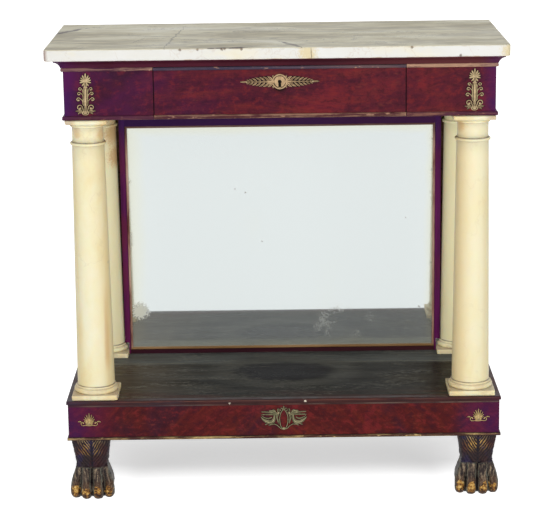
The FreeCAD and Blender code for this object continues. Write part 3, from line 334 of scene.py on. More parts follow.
def violet_polish_and_sheen(p, amount=1, left=0.3, far=0.75, start=0.405):
    """Violet cast, partly old polish and partly a painted reflection: blotchy on the left,
    strongest right at the ends, from the given distance off the middle outward."""
    blot = p.noise((11, 11, 15), 4, 0.6).band(0.4, 0.62, 0.25, 1.35)
    toward_left = p.x.band(0, -0.42, 0, left) * blot
    toward_end = abs(p.x).band(start, FRIEZE_END, 0, far) * p.y.band(-0.12, -0.186, 0.35, 1)
    facing = p.y.band(-0.15, -0.186, 0.45, 1) * amount
    cast = p.least((toward_left + toward_end) * facing, 0.95)
    # The violet laid on here is partly old polish and partly a painted reflection of bluish
    # surroundings.
    violet = p.mix(blot, (0.04, 0.008, 0.095), (0.075, 0.008, 0.07))
    p.tint(cast, violet)


def crotch_veneer(name, frieze):
    """Flame mahogany in polish: sweeping on the frieze, slanting on the plinth."""
    p = Paint(name, Specular_IOR_Level=0.08)
    if frieze:
        bent = p.z + p.math("SINE", p.x * 9) * 0.016
        bent = bent + p.x * -0.08
        flow = p.join(p.x * 5, p.y * 8, bent * 30)
    else:
        away = abs(p.x + 0.03)
        slant = p.z + away * 0.85
        flow = p.join(away * 7, p.y * 8, slant * 24)
    place = p.warp(1.1, 0.8, flow, 4)
    flame = p.noise(1, 7, 0.62, place=place, twist=0.8)
    if frieze:
        p.colour = p.ramp(flame, (0.28, (0.04, 0.006, 0.016)), (0.44, (0.066, 0.0085, 0.02)),
                          (0.57, (0.098, 0.0125, 0.019)), (0.74, (0.15, 0.025, 0.02)))
    else:
        p.colour = p.ramp(flame, (0.28, (0.042, 0.006, 0.008)), (0.44, (0.068, 0.0085, 0.0095)),
                          (0.57, (0.086, 0.0115, 0.0095)), (0.74, (0.135, 0.02, 0.01)))
    feather = p.noise((1.6, 1, 7), 6, 0.75, place=place)
    p.tint(feather.band(0.5, 0.72, 0, 0.45), (0.15, 0.024, 0.018))
    if frieze:
        p.tint(p.x.band(-0.05, 0.3, 0, 0.2), (0.15, 0.022, 0.026))
        p.tint(p.x.band(-0.2, -0.34, 0, 0.8), (0.046, 0.008, 0.02))
    broad, fine = ((3.4, 2, 7), (5.5, 3, 13)) if frieze else ((8, 2, 4), (13, 3, 7))
    dark = p.noise(broad, 4, 0.6, place=p.warp(0.3, 3))
    p.tint(dark.band(0.49, 0.64, 0, 0.72), (0.03, 0.009, 0.02))
    bright = p.noise(fine, 5, 0.66, place=p.warp(0.25, 4))
    bright = bright.band(0.51, 0.64) * p.x.band(-0.25, 0.05, 0.25, 1)
    bright = bright * p.noise((14, 6, 60), 5, 0.7, place=place).band(0.38, 0.58, 0.3, 1)
    p.tint(bright * 0.55, (0.2, 0.019, 0.025))
    pores = p.noise((5.4, 18, 30), 4, 0.65, place=place)
    p.tint(pores.band(0.3, 0.46, 0.5, 0), (0.02, 0.004, 0.008))
    glint = p.noise((40, 40, 130), 3, 0.6)
    p.tint(glint.band(0.6, 0.76, 0, 0.35), (0.2, 0.045, 0.03))
    mottle = p.noise((55, 55, 75), 4, 0.7, place=p.warp(0.02, 20))
    p.tint(mottle.band(0.5, 0.66, 0, 0.5), (0.185, 0.02, 0.02))
    p.tint(mottle.band(0.48, 0.34, 0, 0.55), (0.03, 0.006, 0.012))
    if frieze:
        violet_polish_and_sheen(p)
        edge = abs(abs(p.x) - DRAWER_END)
        p.tint(edge.band(0.0006, 0.002, 0.8, 0), (0.01, 0.004, 0.008))
        # Near-black patch on the wood behind the keyhole: painted shade inside the hole.
        keyhole_shade = p.spots([(0, -0.188, 0.904), (0, -0.188, 0.896)], 0.02)
        p.tint(keyhole_shade, (0.004, 0.003, 0.003))
    else:
        violet_polish_and_sheen(p, 0.6, 0, 0.8, 0.34)
    rough = p.noise(14, 4).band(0.3, 0.7, 0.24, 0.4)
    height = pores + p.noise(9, 2) * 1.5
    return p.finish(rough, height, 0.1, 0.0004)


def worn_moulding(name, dark, bright, share, left=0.6, cast=0.35, kept=0, lines=(), violet=0):
    """A moulding whose dark polish has worn through in streaks along its length. It keeps a
    blue-black above the given height, dirt along the lines at the given heights, and old
    violet polish within the given distance of the middle."""
    p = Paint(name, Specular_IOR_Level=0.12)
    run = p.join((p.x + p.y) * 9, p.y * 9, p.z * 210)
    streak = p.noise(1, 6, 0.68, place=run)
    patch = p.noise((9, 9, 9), 5, 0.65)
    wear = (streak * 0.6 + patch * 0.4).band(0.6 - share, 0.7 - share) * p.x.band(-0.5, 0.25, left, 1)
    base = p.mix(p.noise(35, 4), dark, shades(dark, 1.9))
    if kept:
        above = p.z.band(kept - 0.001, kept + 0.001)
        wear = wear * above.band(0, 1, 1, p.x.band(0, 0.2, 0.1, 0.3))
        night = p.mix(streak, (0.02, 0.014, 0.034), (0.075, 0.062, 0.1))
        base = p.mix(above, base, night)
    p.colour = p.mix(wear, base, p.mix(streak, shades(bright, 0.5), bright))
    nick = p.noise((60, 60, 160), 4, 0.6).band(0.6, 0.7)
    p.tint(nick * 0.7, [min(value * 1.3, 0.8) for value in bright])
    for level in lines:
        near = abs(p.z - level).band(0.0006, 0.0016, 0.85, 0)
        p.tint(near, (0.02, 0.008, 0.008))
    violet_polish_and_sheen(p, cast)
    if violet:
        inside = abs(p.x).band(violet - 0.001, violet + 0.001, 0.9, 0)
        inside = inside * p.z.band(DRAWER_LOW, DRAWER_LOW + 0.001)
        p.tint(inside, p.mix(streak, (0.018, 0.006, 0.045), (0.062, 0.012, 0.085)))
    rough = wear.band(0, 1, 0.36, 0.58)
    return p.finish(rough, streak, 0.35, 0.0005)


def shelf_nosing():
    """Dark rounded edge of the shelf, rubbed pale along its two arrises."""
    p = Paint("shelf_nosing", Specular_IOR_Level=0.12)
    streak = p.noise((14, 14, 120), 6, 0.66)
    p.colour = p.ramp(streak, (0.35, (0.028, 0.013, 0.013)), (0.65, (0.064, 0.02, 0.018)))
    broken = p.noise((10, 10, 40), 5, 0.7).band(0.4, 0.58)
    lower = abs(p.z - SHELF_LOW - 0.0018).band(0.0006, 0.0019, 1, 0)
    upper = abs(p.z - SHELF_TOP + 0.0028).band(0.0003, 0.0012, 0.7, 0)
    broken = broken * p.noise((4, 4, 4), 3).band(0.42, 0.6, 0.15, 1)
    p.tint(lower * broken, (0.125, 0.082, 0.066))
    p.tint(upper * (1 - broken), (0.175, 0.07, 0.045))
    grey = p.noise((3.5, 3.5, 40), 5, 0.65).band(0.42, 0.58) * abs(p.x).band(0.08, 0.3, 0.45, 1)
    p.tint(grey, (0.036, 0.028, 0.033))
    chip = p.spots([(0.046, -0.2105, 0.2185), (-0.115, -0.2105, 0.215)], 0.0038, 0.006)
    p.tint(chip, (0.7, 0.62, 0.5))
    violet_polish_and_sheen(p, 0.2)
    return p.finish(streak.band(0.3, 0.7, 0.3, 0.48), streak, 0.2, 0.0005)


def mirror_slip():
    """Slim inner frame of the mirror: pinkish wood with most of its polish gone."""
    p = Paint("mirror_slip", Specular_IOR_Level=0.1)
    up = p.noise((50, 50, 7), 6, 0.65)
    run = p.noise((7, 50, 90), 6, 0.65)
    upright = abs(p.x).band(MIRROR_SIDE - 0.0005, MIRROR_SIDE + 0.0005)
    wear = p.mix(upright, run, up)
    p.colour = p.ramp(wear, (0.34, (0.12, 0.036, 0.03)), (0.47, (0.34, 0.18, 0.13)),
                      (0.62, (0.56, 0.37, 0.28)))
    p.tint(p.z.band(0.7, 0.752) * 0.7, (0.05, 0.02, 0.02))
    low = p.mix(run, (0.12, 0.06, 0.02), (0.36, 0.21, 0.075))
    p.tint(p.z.band(MIRROR_LOW + 0.0005, MIRROR_LOW) * 0.85, low)
    return p.finish(0.5, wear, 0.3, 0.0004)


def dark_mahogany(name, tone=1, cast=0.6, violet=0):
    """Plain straight-grained mahogany in dark polish, gone violet above the mirror."""
    p = Paint(name, Specular_IOR_Level=0.08)
    run = p.warp(0.5, 1.2, p.stretch((5, 30, 30)), 2)
    grain = p.noise(1, 6, 0.6, place=run)
    deep = shades((0.036, 0.006, 0.014), tone)
    glow = shades((0.098, 0.014, 0.026), tone)
    p.colour = p.ramp(grain, (0.32, deep), (0.68, glow))
    warm = p.x.band(0, 0.4, 0, 0.75)
    p.tint(warm, shades((0.135, 0.034, 0.036), tone))
    violet_polish_and_sheen(p, cast)
    if violet:
        old = p.mix(grain, (0.014, 0.006, 0.048), (0.052, 0.01, 0.08))
        old = p.mix(p.x.band(-0.1, 0.25, 0, 0.7), old, (0.048, 0.008, 0.052))
        p.tint(p.z.band(0.7, 0.72, 0, violet), old)
        p.tint(p.z.band(0.24, 0.236, 0, 0.5), (0.03, 0.012, 0.016))
    rough = p.noise(20, 4).band(0.3, 0.7, 0.28, 0.42)
    return p.finish(rough, grain, 0.15, 0.0004)


def violet_stile():
    """Mirror frame: red-violet polish, painted shade toward the columns, nicked along its length."""
    p = Paint("violet_stile", Specular_IOR_Level=0.08)
    run = p.noise((60, 60, 4), 5, 0.6)
    p.colour = p.ramp(run, (0.3, (0.05, 0.006, 0.04)), (0.7, (0.125, 0.012, 0.092)))
    p.tint(p.z.band(0.66, 0.76, 0, 0.7), (0.022, 0.01, 0.08))
    # Darker toward the columns: painted shade in the gap beside them.
    outer = abs(p.x).band(0.352, 0.362, 0, 0.3)
    p.tint(outer, (0.014, 0.004, 0.016))
    red = p.noise((8, 8, 5), 3).band(0.5, 0.66, 0, 0.6)
    p.tint(red, (0.12, 0.016, 0.03))
    return p.finish(run.band(0.3, 0.7, 0.3, 0.45), run, 0.15, 0.0004)


def shelf_polish():
    """Dark shelf board: long green-brown streaks and an oval figure in the middle."""
    p = Paint("shelf_polish", Specular_IOR_Level=0.01)
    run = p.warp(0.9, 0.9, p.stretch((3.4, 34, 8)), 4)
    streak = p.noise(1, 8, 0.66, place=run)
    p.colour = p.ramp(streak, (0.32, (0.012, 0.011, 0.01)), (0.46, (0.031, 0.029, 0.024)),
                      (0.6, (0.062, 0.058, 0.046)), (0.76, (0.15, 0.138, 0.105)))
    side = abs(p.x).band(0.14, 0.36)
    p.tint(side * p.x.band(-0.1, -0.3, 0.2, 0.65), (0.185, 0.145, 0.098))
    oval = ((p.x - 0.002) * 10) ** 2 + ((p.y + 0.005) * 15) ** 2
    oval = oval + (p.noise(18, 4) - 0.5) * 0.8
    p.tint(oval.band(0.6, 1.5, 0.82, 0), (0.016, 0.012, 0.014))
    p.tint(p.x.band(-0.05, 0.3, 0.12, 0.42), (0.03, 0.026, 0.022))
    back = p.y + (p.noise(3, 2) - 0.5) * 0.012
    behind = back.band(0.045, 0.068, 0, 0.85) * streak.band(0.3, 0.6, 0.6, 1)
    p.tint(behind, (0.142, 0.154, 0.148))
    worn_line = abs(back - 0.064).band(0.0015, 0.005, 0.8, 0) * streak.band(0.4, 0.55, 0.2, 1)
    p.tint(worn_line, (0.24, 0.23, 0.18))
    dusty = p.noise((60, 190, 20), 5, 0.75, place=p.warp(0.01, 30))
    dusty = dusty.band(0.5, 0.6) * p.noise((7, 18, 8), 4).band(0.42, 0.58)
    p.tint(dusty * 0.65, (0.24, 0.23, 0.19))
    fine = p.noise((9, 420, 8), 3, 0.6)
    p.tint(fine.band(0.5, 0.6, 0, 0.55), (0.012, 0.01, 0.01))
    red = p.y.band(-0.13, -0.2) * p.noise(1.3, 4, place=run).band(0.42, 0.58)
    p.tint(red * 0.7, (0.082, 0.026, 0.02))
    centre = abs(p.x - 0.06).band(0.08, 0.3, 0.3, 0)
    p.tint(centre, (0.01, 0.009, 0.009))
    rim = oval.band(1, 1.7) * oval.band(1.9, 3.8, 1, 0) * streak.band(0.34, 0.58, 0.35, 1)
    p.tint(rim * 0.7, (0.085, 0.082, 0.07))
    p.tint(oval.band(0.7, 1.4, 0.75, 0), (0.012, 0.009, 0.012))
    scratch = p.noise((14, 160, 8), 3, 0.7, place=p.warp(0.02, 10))
    p.tint(scratch.band(0.64, 0.76, 0, 0.5), (0.22, 0.2, 0.16))
    rough = p.noise((6, 20, 6), 4).band(0.3, 0.7, 0.22, 0.4)
    return p.finish(rough, streak, 0.08, 0.0004)


def alabaster():
    """Cream stone with honey clouds, brown stains, fine cracks and grime in the joints; painted shade
    on the flanks, inner sides, ring ends and front columns, painted light on the rear ones.
    """
    p = Paint("alabaster", Specular_IOR_Level=0.25, Subsurface_Weight=0.35)
    p.shader.inputs["Subsurface Scale"].default_value = 0.012
    p.shader.inputs["Subsurface Radius"].default_value = (1, 0.7, 0.4)
    place = p.warp(0.05, 9)
    cloud = p.noise((8, 8, 4), 7, 0.64, place=place)
    p.colour = p.ramp(cloud, (0.34, (0.88, 0.755, 0.43)), (0.45, (0.915, 0.85, 0.57)),
                      (0.58, (0.925, 0.895, 0.69)))
    axis_off = abs(abs(p.x) - COLUMN_X)
    band = p.noise((60, 60, 3), 3, place=p.warp(0.02, 6))
    # Deeper honey on each column's flanks: painted shade where the round turns away.
    flank = axis_off.band(0.014, 0.034) * band.band(0.62, 0.4, 0.35, 1)
    p.tint(flank * p.x.band(-0.1, 0.1, 0.6, 0.5), (0.89, 0.68, 0.29))
    blotch = p.noise((16, 16, 9), 5, 0.62, place=place)
    p.tint(blotch.band(0.58, 0.74, 0, 0.4), (0.8, 0.62, 0.3))
    drip = p.noise((34, 34, 3), 4, 0.6, place=p.warp(0.02, 8))
    p.tint(drip.band(0.6, 0.74, 0, 0.35), (0.78, 0.62, 0.34))
    vein = abs(p.noise(7, 5, place=p.warp(0.04, 20)) - 0.5)
    p.tint(vein.band(0, 0.01, 0.2, 0), (0.6, 0.5, 0.34))
    speck = p.cells(p.warp(0.004, 90), 19).band(0.04, 0.1, 1, 0) * p.noise(12, 2).band(0.48, 0.58)
    p.tint(speck * 0.5, (0.42, 0.37, 0.3))
    # Deeper yellow on the columns' inner sides, most on the right: painted shade.
    inner = abs(p.x).band(0.408, 0.372) * p.y.band(0, 0.1, 0.6, 0.1)
    p.tint(inner * p.x.band(-0.1, 0.1, 0.3, 1), (0.8, 0.54, 0.19))
    p.tint(p.x.band(-0.1, 0.1, 0, 0.35), (0.87, 0.76, 0.44))
    # Rear columns painted paler and front columns painted duller: painted light and shade that even
    # out how the two rows are lit.
    behind = p.y.band(0.02, 0.1, 0, 0.8)
    p.tint(behind, (1, 0.89, 0.56))
    ahead = p.y.band(0, -0.08, 0, 0.5)
    p.tint(ahead, p.mix(0.5, p.colour, (0.7, 0.62, 0.42)))
    stain = p.spots([(-0.37, 0.14, 0.79), (-0.371, 0.14, 0.74), (-0.369, 0.15, 0.69)], 0.036, 0.03)
    drops = p.spots([(-0.3755, -0.172, 0.797), (-0.428, -0.185, 0.8), (-0.358, -0.195, 0.82),
                     (-0.36, -0.175, 0.815), (0.3755, -0.175, 0.806)], 0.017, 0.012)
    trickle = abs(p.x + 0.3755).band(0.001, 0.0075, 1, 0) * p.y.band(0, -0.1)
    reach = p.z.band(0.27, 0.32) * p.z.band(0.42, 0.5, 1, 0)
    trickle = trickle * reach * drip.band(0.4, 0.56, 0.3, 1)
    stain = p.most(stain, drops * 0.7, trickle * 0.75)
    p.tint(stain * 0.7, (0.66, 0.38, 0.13))
    # Darker grey-brown at the capitals' front corners.
    corners = [(-0.446, -0.196, 0.823), (-0.446, -0.17, 0.821), (0.446, -0.196, 0.823)]
    dark_corners = p.spots(corners, 0.026, 0.01)
    p.tint(dark_corners * 0.6, (0.42, 0.31, 0.24))
    low = p.z.band(SHELF_TOP + 0.028, SHELF_TOP + 0.021) * p.noise(30, 4).band(0.42, 0.6)
    p.tint(low * 0.55, (0.66, 0.53, 0.34))
    # Level of a joint, half width of its grime, and how dark it is.
    joints = (
        (SHELF_TOP + 0.0265, 0.0016, 0.90),
        (SHELF_TOP + 0.0220, 0.0012, 0.60),
        (SHELF_TOP + 0.0112, 0.0014, 0.60),
        (CASE_LOW - 0.0490, 0.0013, 1.0),
        (CASE_LOW - 0.0558, 0.0011, 0.60),
        (CASE_LOW - 0.0165, 0.0012, 0.45),
    )
    grimy = p.most(*(abs(p.z - level).band(0, width, strength, 0)
                     for level, width, strength in joints))
    grimy = grimy * p.noise(50, 3).band(0.3, 0.55, 0.45, 1)
    p.tint(grimy * 0.85, (0.24, 0.17, 0.14))
    # Dark spots at the ring's left and right ends: painted shade where it turns away.
    dot = axis_off.band(0.0345, 0.0365) * abs(p.z - CASE_LOW + 0.0485).band(0, 0.003, 1, 0)
    p.tint(dot * 0.8, (0.13, 0.1, 0.1))
    rough = cloud.band(0.3, 0.7, 0.46, 0.34)
    height = blotch * 0.5 + p.noise(80, 4)
    return p.finish(rough, height, 0.1, 0.0006)


def old_mirror():
    """Silvered glass: a yellow-green haze round the edges, foxing and worn patches."""
    p = Paint("old_mirror")
    side = MIRROR_SIDE - abs(p.x)
    left = p.x + MIRROR_SIDE
    low = p.z - MIRROR_LOW
    high = MIRROR_HIGH - p.z
    wave = (p.noise(9, 5) - 0.5) * 0.022
    near = p.least(side, high, low)
    rim = (near + wave).band(0, 0.024, 0.7, 0)
    wide_rim = (left + wave).band(0, 0.045, 0.7, 0)
    cloud = p.noise((7, 7, 4), 5).band(0.54, 0.8, 0, 0.1)
    haze = p.most(rim, wide_rim, cloud)
    patch = p.noise(26, 5, 0.7, place=p.warp(0.02, 30))
    bloom = p.spots([(-0.327, 0.158, 0.323)], 0.026, 0.03) * 0.8
    ragged = patch.band(0.44, 0.6)
    dust = p.spots([(0.1, 0.158, 0.288), (0.13, 0.158, 0.3), (0.185, 0.158, 0.285)], 0.04, 0.06)
    lower = p.z.band(0.31, 0.25) * patch.band(0.5, 0.68, 0, 0.2)
    bloom = p.most(bloom, dust * ragged * 0.3, lower)
    fox = p.cells(p.warp(0.01, 60), 26).band(0.035, 0.085, 1, 0) * p.noise(7, 3).band(0.54, 0.64)
    edge_fox = p.least(side, low).band(0, 0.011, 1, 0) * patch.band(0.54, 0.66)
    fox = p.most(fox * 0.5, edge_fox * 0.35)
    p.colour = p.mix(haze, (0.778, 0.832, 0.828), (0.815, 0.83, 0.69))
    p.tint(bloom, (0.66, 0.66, 0.55))
    p.tint(fox, (0.3, 0.27, 0.21))
    dull = p.most(haze * 0.22, bloom, fox)
    metal = dull.band(0, 1, 0.835, 0.1)
    rough = dull.band(0, 1, 0.03, 0.5)
    ripple = p.noise(4, 2)
    return p.finish(rough, ripple, 0.02, 0.002, Metallic=metal)


def aged_brass(name, dim, pale, hollow=(0.024, 0.012, 0.006), share=0):
    """Cast brass: worn bright on the crests, brown and green in the hollows, with a rim of
    old grime and painted shadow on the wood round it."""
    p = Paint(name, Specular_IOR_Level=0.3)
    crest = p.attribute("crest")
    blot = p.noise(140, 4)
    green = p.noise(48, 3).band(0.48, 0.64, 0, 0.6)
    patina = p.mix(blot, hollow, shades(hollow, 3))
    patina = p.mix(green, patina, (0.05, 0.075, 0.04))
    wear = (crest + (blot - 0.5) * 0.5).band(0.36 + share, 0.8 + share)
    p.colour = p.mix(wear, patina, p.mix(blot, dim, pale))
    # Near-black where the crest is below zero, on the rims and plates under the brass: grime and
    # painted shadow.
    grime = crest.band(-0.3, -0.7)
    p.tint(grime, p.mix(blot, (0.008, 0.004, 0.006), (0.022, 0.008, 0.01)))
    rough = wear.band(0, 1, 0.62, 0.4)
    metal = wear.band(0, 1, 0.15, 0.5)
    return p.finish(rough, p.noise(400, 3), 0.15, 0.0003, Metallic=metal)


def iron(name, colour):
    """Plain old ironwork with a little rust."""
    p = Paint(name, Metallic=0.8)
    rust = p.noise(60, 5).band(0.52, 0.7)
    p.colour = p.mix(p.noise(200, 3), shades(colour, 0.7), colour)
    p.tint(rust * 0.6, (0.15, 0.06, 0.03))
    return p.finish(rust.band(0, 1, 0.5, 0.8), rust, 0.2, 0.0004)


def case_wood(name, light, dark):
    """Bare secondary wood: growth rings, pores, grime, board joints and saw marks."""
    p = Paint(name, Specular_IOR_Level=0.15)
    run = p.warp(0.7, 0.7, p.stretch((2.2, 40, 40)), 3)
    ring = p.noise(1, 7, 0.62, place=run)
    fine = p.noise((9, 260, 260), 4, 0.6)
    p.colour = p.ramp(ring * 0.7 + fine * 0.3, (0.36, dark), (0.62, light))
    late = abs(ring - 0.52).band(0, 0.02, 0.55, 0)
    p.tint(late, shades(dark, 0.6))
    grime = p.noise((3, 3, 5), 5)
    p.tint(grime.band(0.48, 0.72, 0, 0.5), shades(dark, 0.5))
    board = p.math("PINGPONG", p.z + 0.02, 0.11)
    joint = board.band(0.0008, 0.0016, 0.85, 0)
    p.tint(joint * p.y.band(0.16, 0.17), (0.012, 0.008, 0.006))
    gap = abs(abs(p.x) - 0.372).band(0.016, 0.018, 1, 0) * p.y.band(0.176, 0.174)
    p.tint(gap * p.y.band(0.1, 0.11), (0.06, 0.01, 0.085))
    saw = p.noise((240, 12, 12), 2)
    height = ring + saw * 0.4
    return p.finish(ring.band(0.3, 0.7, 0.75, 0.6), height, 0.3, 0.0006)


def carved_paw():
    """Dark paint over gilding: hair strands, brown toes with grey-green rims, bare claws and painted
    shade in the grooves.
    """
    p = Paint("carved_paw", Specular_IOR_Level=0.25)
    crest = p.attribute("crest")
    claw = p.attribute("claw")
    blot = p.noise(110, 5, 0.68)
    shade = blot - 0.5
    ground = p.mix(blot, (0.008, 0.005, 0.008), (0.034, 0.02, 0.022))
    red = p.noise(34, 3).band(0.45, 0.65, 0, 0.6)
    ground = p.mix(red, ground, (0.042, 0.01, 0.012))
    blue = p.noise((30, 30, 24), 3).band(0.5, 0.62, 0, 0.65)
    ground = p.mix(blue, ground, (0.018, 0.014, 0.055))
    worn = (crest + shade * 1.3).band(0.62, 0.95)
    faded = p.noise((26, 26, 30), 3).band(0.38, 0.58, 0.25, 1)
    upper = p.z.band(0.092, 0.114, 0.06, 1) * faded
    middle = abs(abs(p.x) - PAW_X)
    centred = middle.band(0.01, 0.026, 1, 0) * p.z.band(0.09, 0.1)
    gilt = p.mix(p.noise(60, 3), (0.15, 0.048, 0.016), (0.34, 0.16, 0.06))
    gilt = p.mix(centred * 0.7, gilt, (0.62, 0.38, 0.1))
    upper = upper * middle.band(0.012, 0.034, 1, 0.2)
    gilt = p.mix(p.z.band(0.118, 0.132, 0, 0.5), gilt, (0.33, 0.3, 0.19))
    leg = p.mix(worn * upper, ground, gilt)
    streak = p.noise((230, 120, 34), 4, 0.65, place=p.warp(0.012, 40))
    toe = p.ramp(streak, (0.38, (0.01, 0.007, 0.007)), (0.48, (0.03, 0.019, 0.017)),
                 (0.55, (0.09, 0.062, 0.046)), (0.64, (0.3, 0.23, 0.15)))
    rim = crest.band(0.16, 0.34) * crest.band(0.5, 0.66, 1, 0)
    rim = rim * p.noise(40, 3).band(0.36, 0.54, 0.35, 0.9)
    toe = p.mix(rim, toe, p.mix(blot, (0.07, 0.075, 0.058), (0.165, 0.175, 0.14)))
    tip = p.z.band(0.046, 0.034, 0, 0.35) * crest.band(0.4, 0.6)
    toe = p.mix(tip, toe, (0.14, 0.066, 0.03))
    speckle = p.noise(320, 3, 0.7)
    toe = p.mix(speckle.band(0.55, 0.68, 0, 0.55), toe, (0.26, 0.2, 0.13))
    toe = p.mix(speckle.band(0.44, 0.34, 0, 0.6), toe, (0.008, 0.006, 0.006))
    p.colour = p.mix(p.z.band(0.073, 0.069), leg, toe)
    # Near-black in the grooves between strands and toes: painted shade.
    hollow = crest.band(0.02, 0.22, 0.95, 0)
    p.tint(hollow, (0.006, 0.004, 0.007))
    crackle = p.noise(190, 4, 0.7, place=p.warp(0.006, 120))
    low = p.z.band(0.017, 0.01, 0, -0.07)
    tan = p.ramp(crackle + low + (p.noise(60, 3) - 0.5) * 0.6, (0.38, (0.02, 0.01, 0.008)),
                 (0.47, (0.22, 0.09, 0.02)), (0.56, (0.52, 0.29, 0.065)), (0.7, (0.82, 0.6, 0.25)))
    bare = (claw + shade * 0.7).band(0.4, 0.6) * p.z.band(0.002, 0.01, 0.25, 1)
    p.tint(bare, tan)
    height = blot + streak * 0.6 + crackle * claw * 1.4
    return p.finish(blot.band(0.3, 0.7, 0.36, 0.58), height, 0.35, 0.001)


# ---------------------------------------------------------------- shapes


def mesh_piece(name, verts, faces, material, crest=None, claw=None, smooth=True):
    """An object from vertices in metres, with its wear values."""
    mesh = bpy.data.meshes.new(name)
    mesh.from_pydata([tuple(vert) for vert in verts], [], faces)
    mesh.update()
    for label, values in (("crest", crest), ("claw", claw)):
        if values is not None:
            layer = mesh.attributes.new(label, "FLOAT", "POINT")
            layer.data.foreach_set("value", np.asarray(values, np.float32))
    mesh.polygons.foreach_set("use_smooth", [smooth] * len(mesh.polygons))
    piece = bpy.data.objects.new(name, mesh)
    bpy.context.scene.collection.objects.link(piece)
    mesh.materials.append(material)
    return piece


def assign(material, *names):
    """Gives CAD nodes a finish."""
    for name in names:
        materials = NODES[name].data.materials
        materials.clear()
        materials.append(material)


def circle(count, across, other):
    """Points round an ellipse."""
    angles = [2 * math.pi * k / count for k in range(count)]
    return [(math.cos(angle) * across, math.sin(angle) * other) for angle in angles]


def between(start, end, count):
    """The points that part the way from start to end, without its ends."""
    shares = [k / count for k in range(1, count)]
    return [tuple(a + (b - a) * share for a, b in zip(start, end)) for share in shares]


def curve_through(points, count):
    """Even samples of a smooth curve through the points."""
    padded = [points[0], *points, points[-1]]
    samples = []
    for number in range(count):
        position = number / (count - 1) * (len(points) - 1)
        span = min(int(position), len(points) - 2)
        t = position - span
        a, b, c, d = (np.array(padded[span + k], float) for k in range(4))
        bow = (2 * a - 5 * b + 4 * c - d) * t**2 + (3 * b - a - 3 * c + d) * t**3
        samples.append((2 * b + (c - a) * t + bow) / 2)
    return samples


def spread_out(values, count):
    """Values interpolated to the count."""
    places = np.linspace(0, len(values) - 1, count)
    return np.interp(places, range(len(values)), values)


def curl(start, centre, radius, turn_from, turns, shrink=0.35):
    """Points from a start into a spiral round a centre."""
    points = [start]
    for share in np.linspace(0, 1, 9):
        angle = math.radians(turn_from + turns * 360 * share)
        reach = radius * (1 - (1 - shrink) * share)
        points.append((centre[0] + math.cos(angle) * reach, centre[1] + math.sin(angle) * reach))
    return points


def leaf_rib(root, degrees, length, bend=0):
    """Five points from the root of a leaf to its tip."""
    points = []
    for share in (0, 0.25, 0.5, 0.75, 1):
        turned = math.radians(degrees + bend * share)
        reach = length * share
        points.append((root[0] + math.cos(turned) * reach, root[1] + math.sin(turned) * reach))
    return points


def mirrored(lean):
    """The sides that a leaf stands on: one upright leaf, or one on the right and left."""
    return (1, -1) if lean else (1,)


# Across the section from -1 to 1, how high it stands there, and how worn it is.
SECTIONS = {
    "round": ((-1, -0.8, -0.45, 0, 0.45, 0.8, 1), (0, 0.6, 0.9, 1, 0.9, 0.6, 0),
              (0, 0.3, 0.8, 1, 0.8, 0.3, 0)),
    "leaf": ((-1, -0.72, -0.35, -0.1, 0, 0.1, 0.35, 0.72, 1),
             (0.1, 0.75, 0.8, 0.45, 1, 0.45, 0.8, 0.75, 0.1),
             (0.2, 0.9, 0.7, 0, 1, 0, 0.7, 0.9, 0.2)),
    "lance": ((-1, -0.7, -0.5, -0.3, 0, 0.3, 0.5, 0.7, 1),
              (0.2, 0.7, 0.35, 0.9, 1, 0.9, 0.35, 0.7, 0.2),
              (0.4, 0.9, 0, 0.8, 1, 0.8, 0, 0.9, 0.4)),
}
BED = 0.5  # thickness under the thin edges of a blade
GRIME_AND_SHADOW_RISE = 0.2  # how far the rim of grime and painted shadow stands off the wood
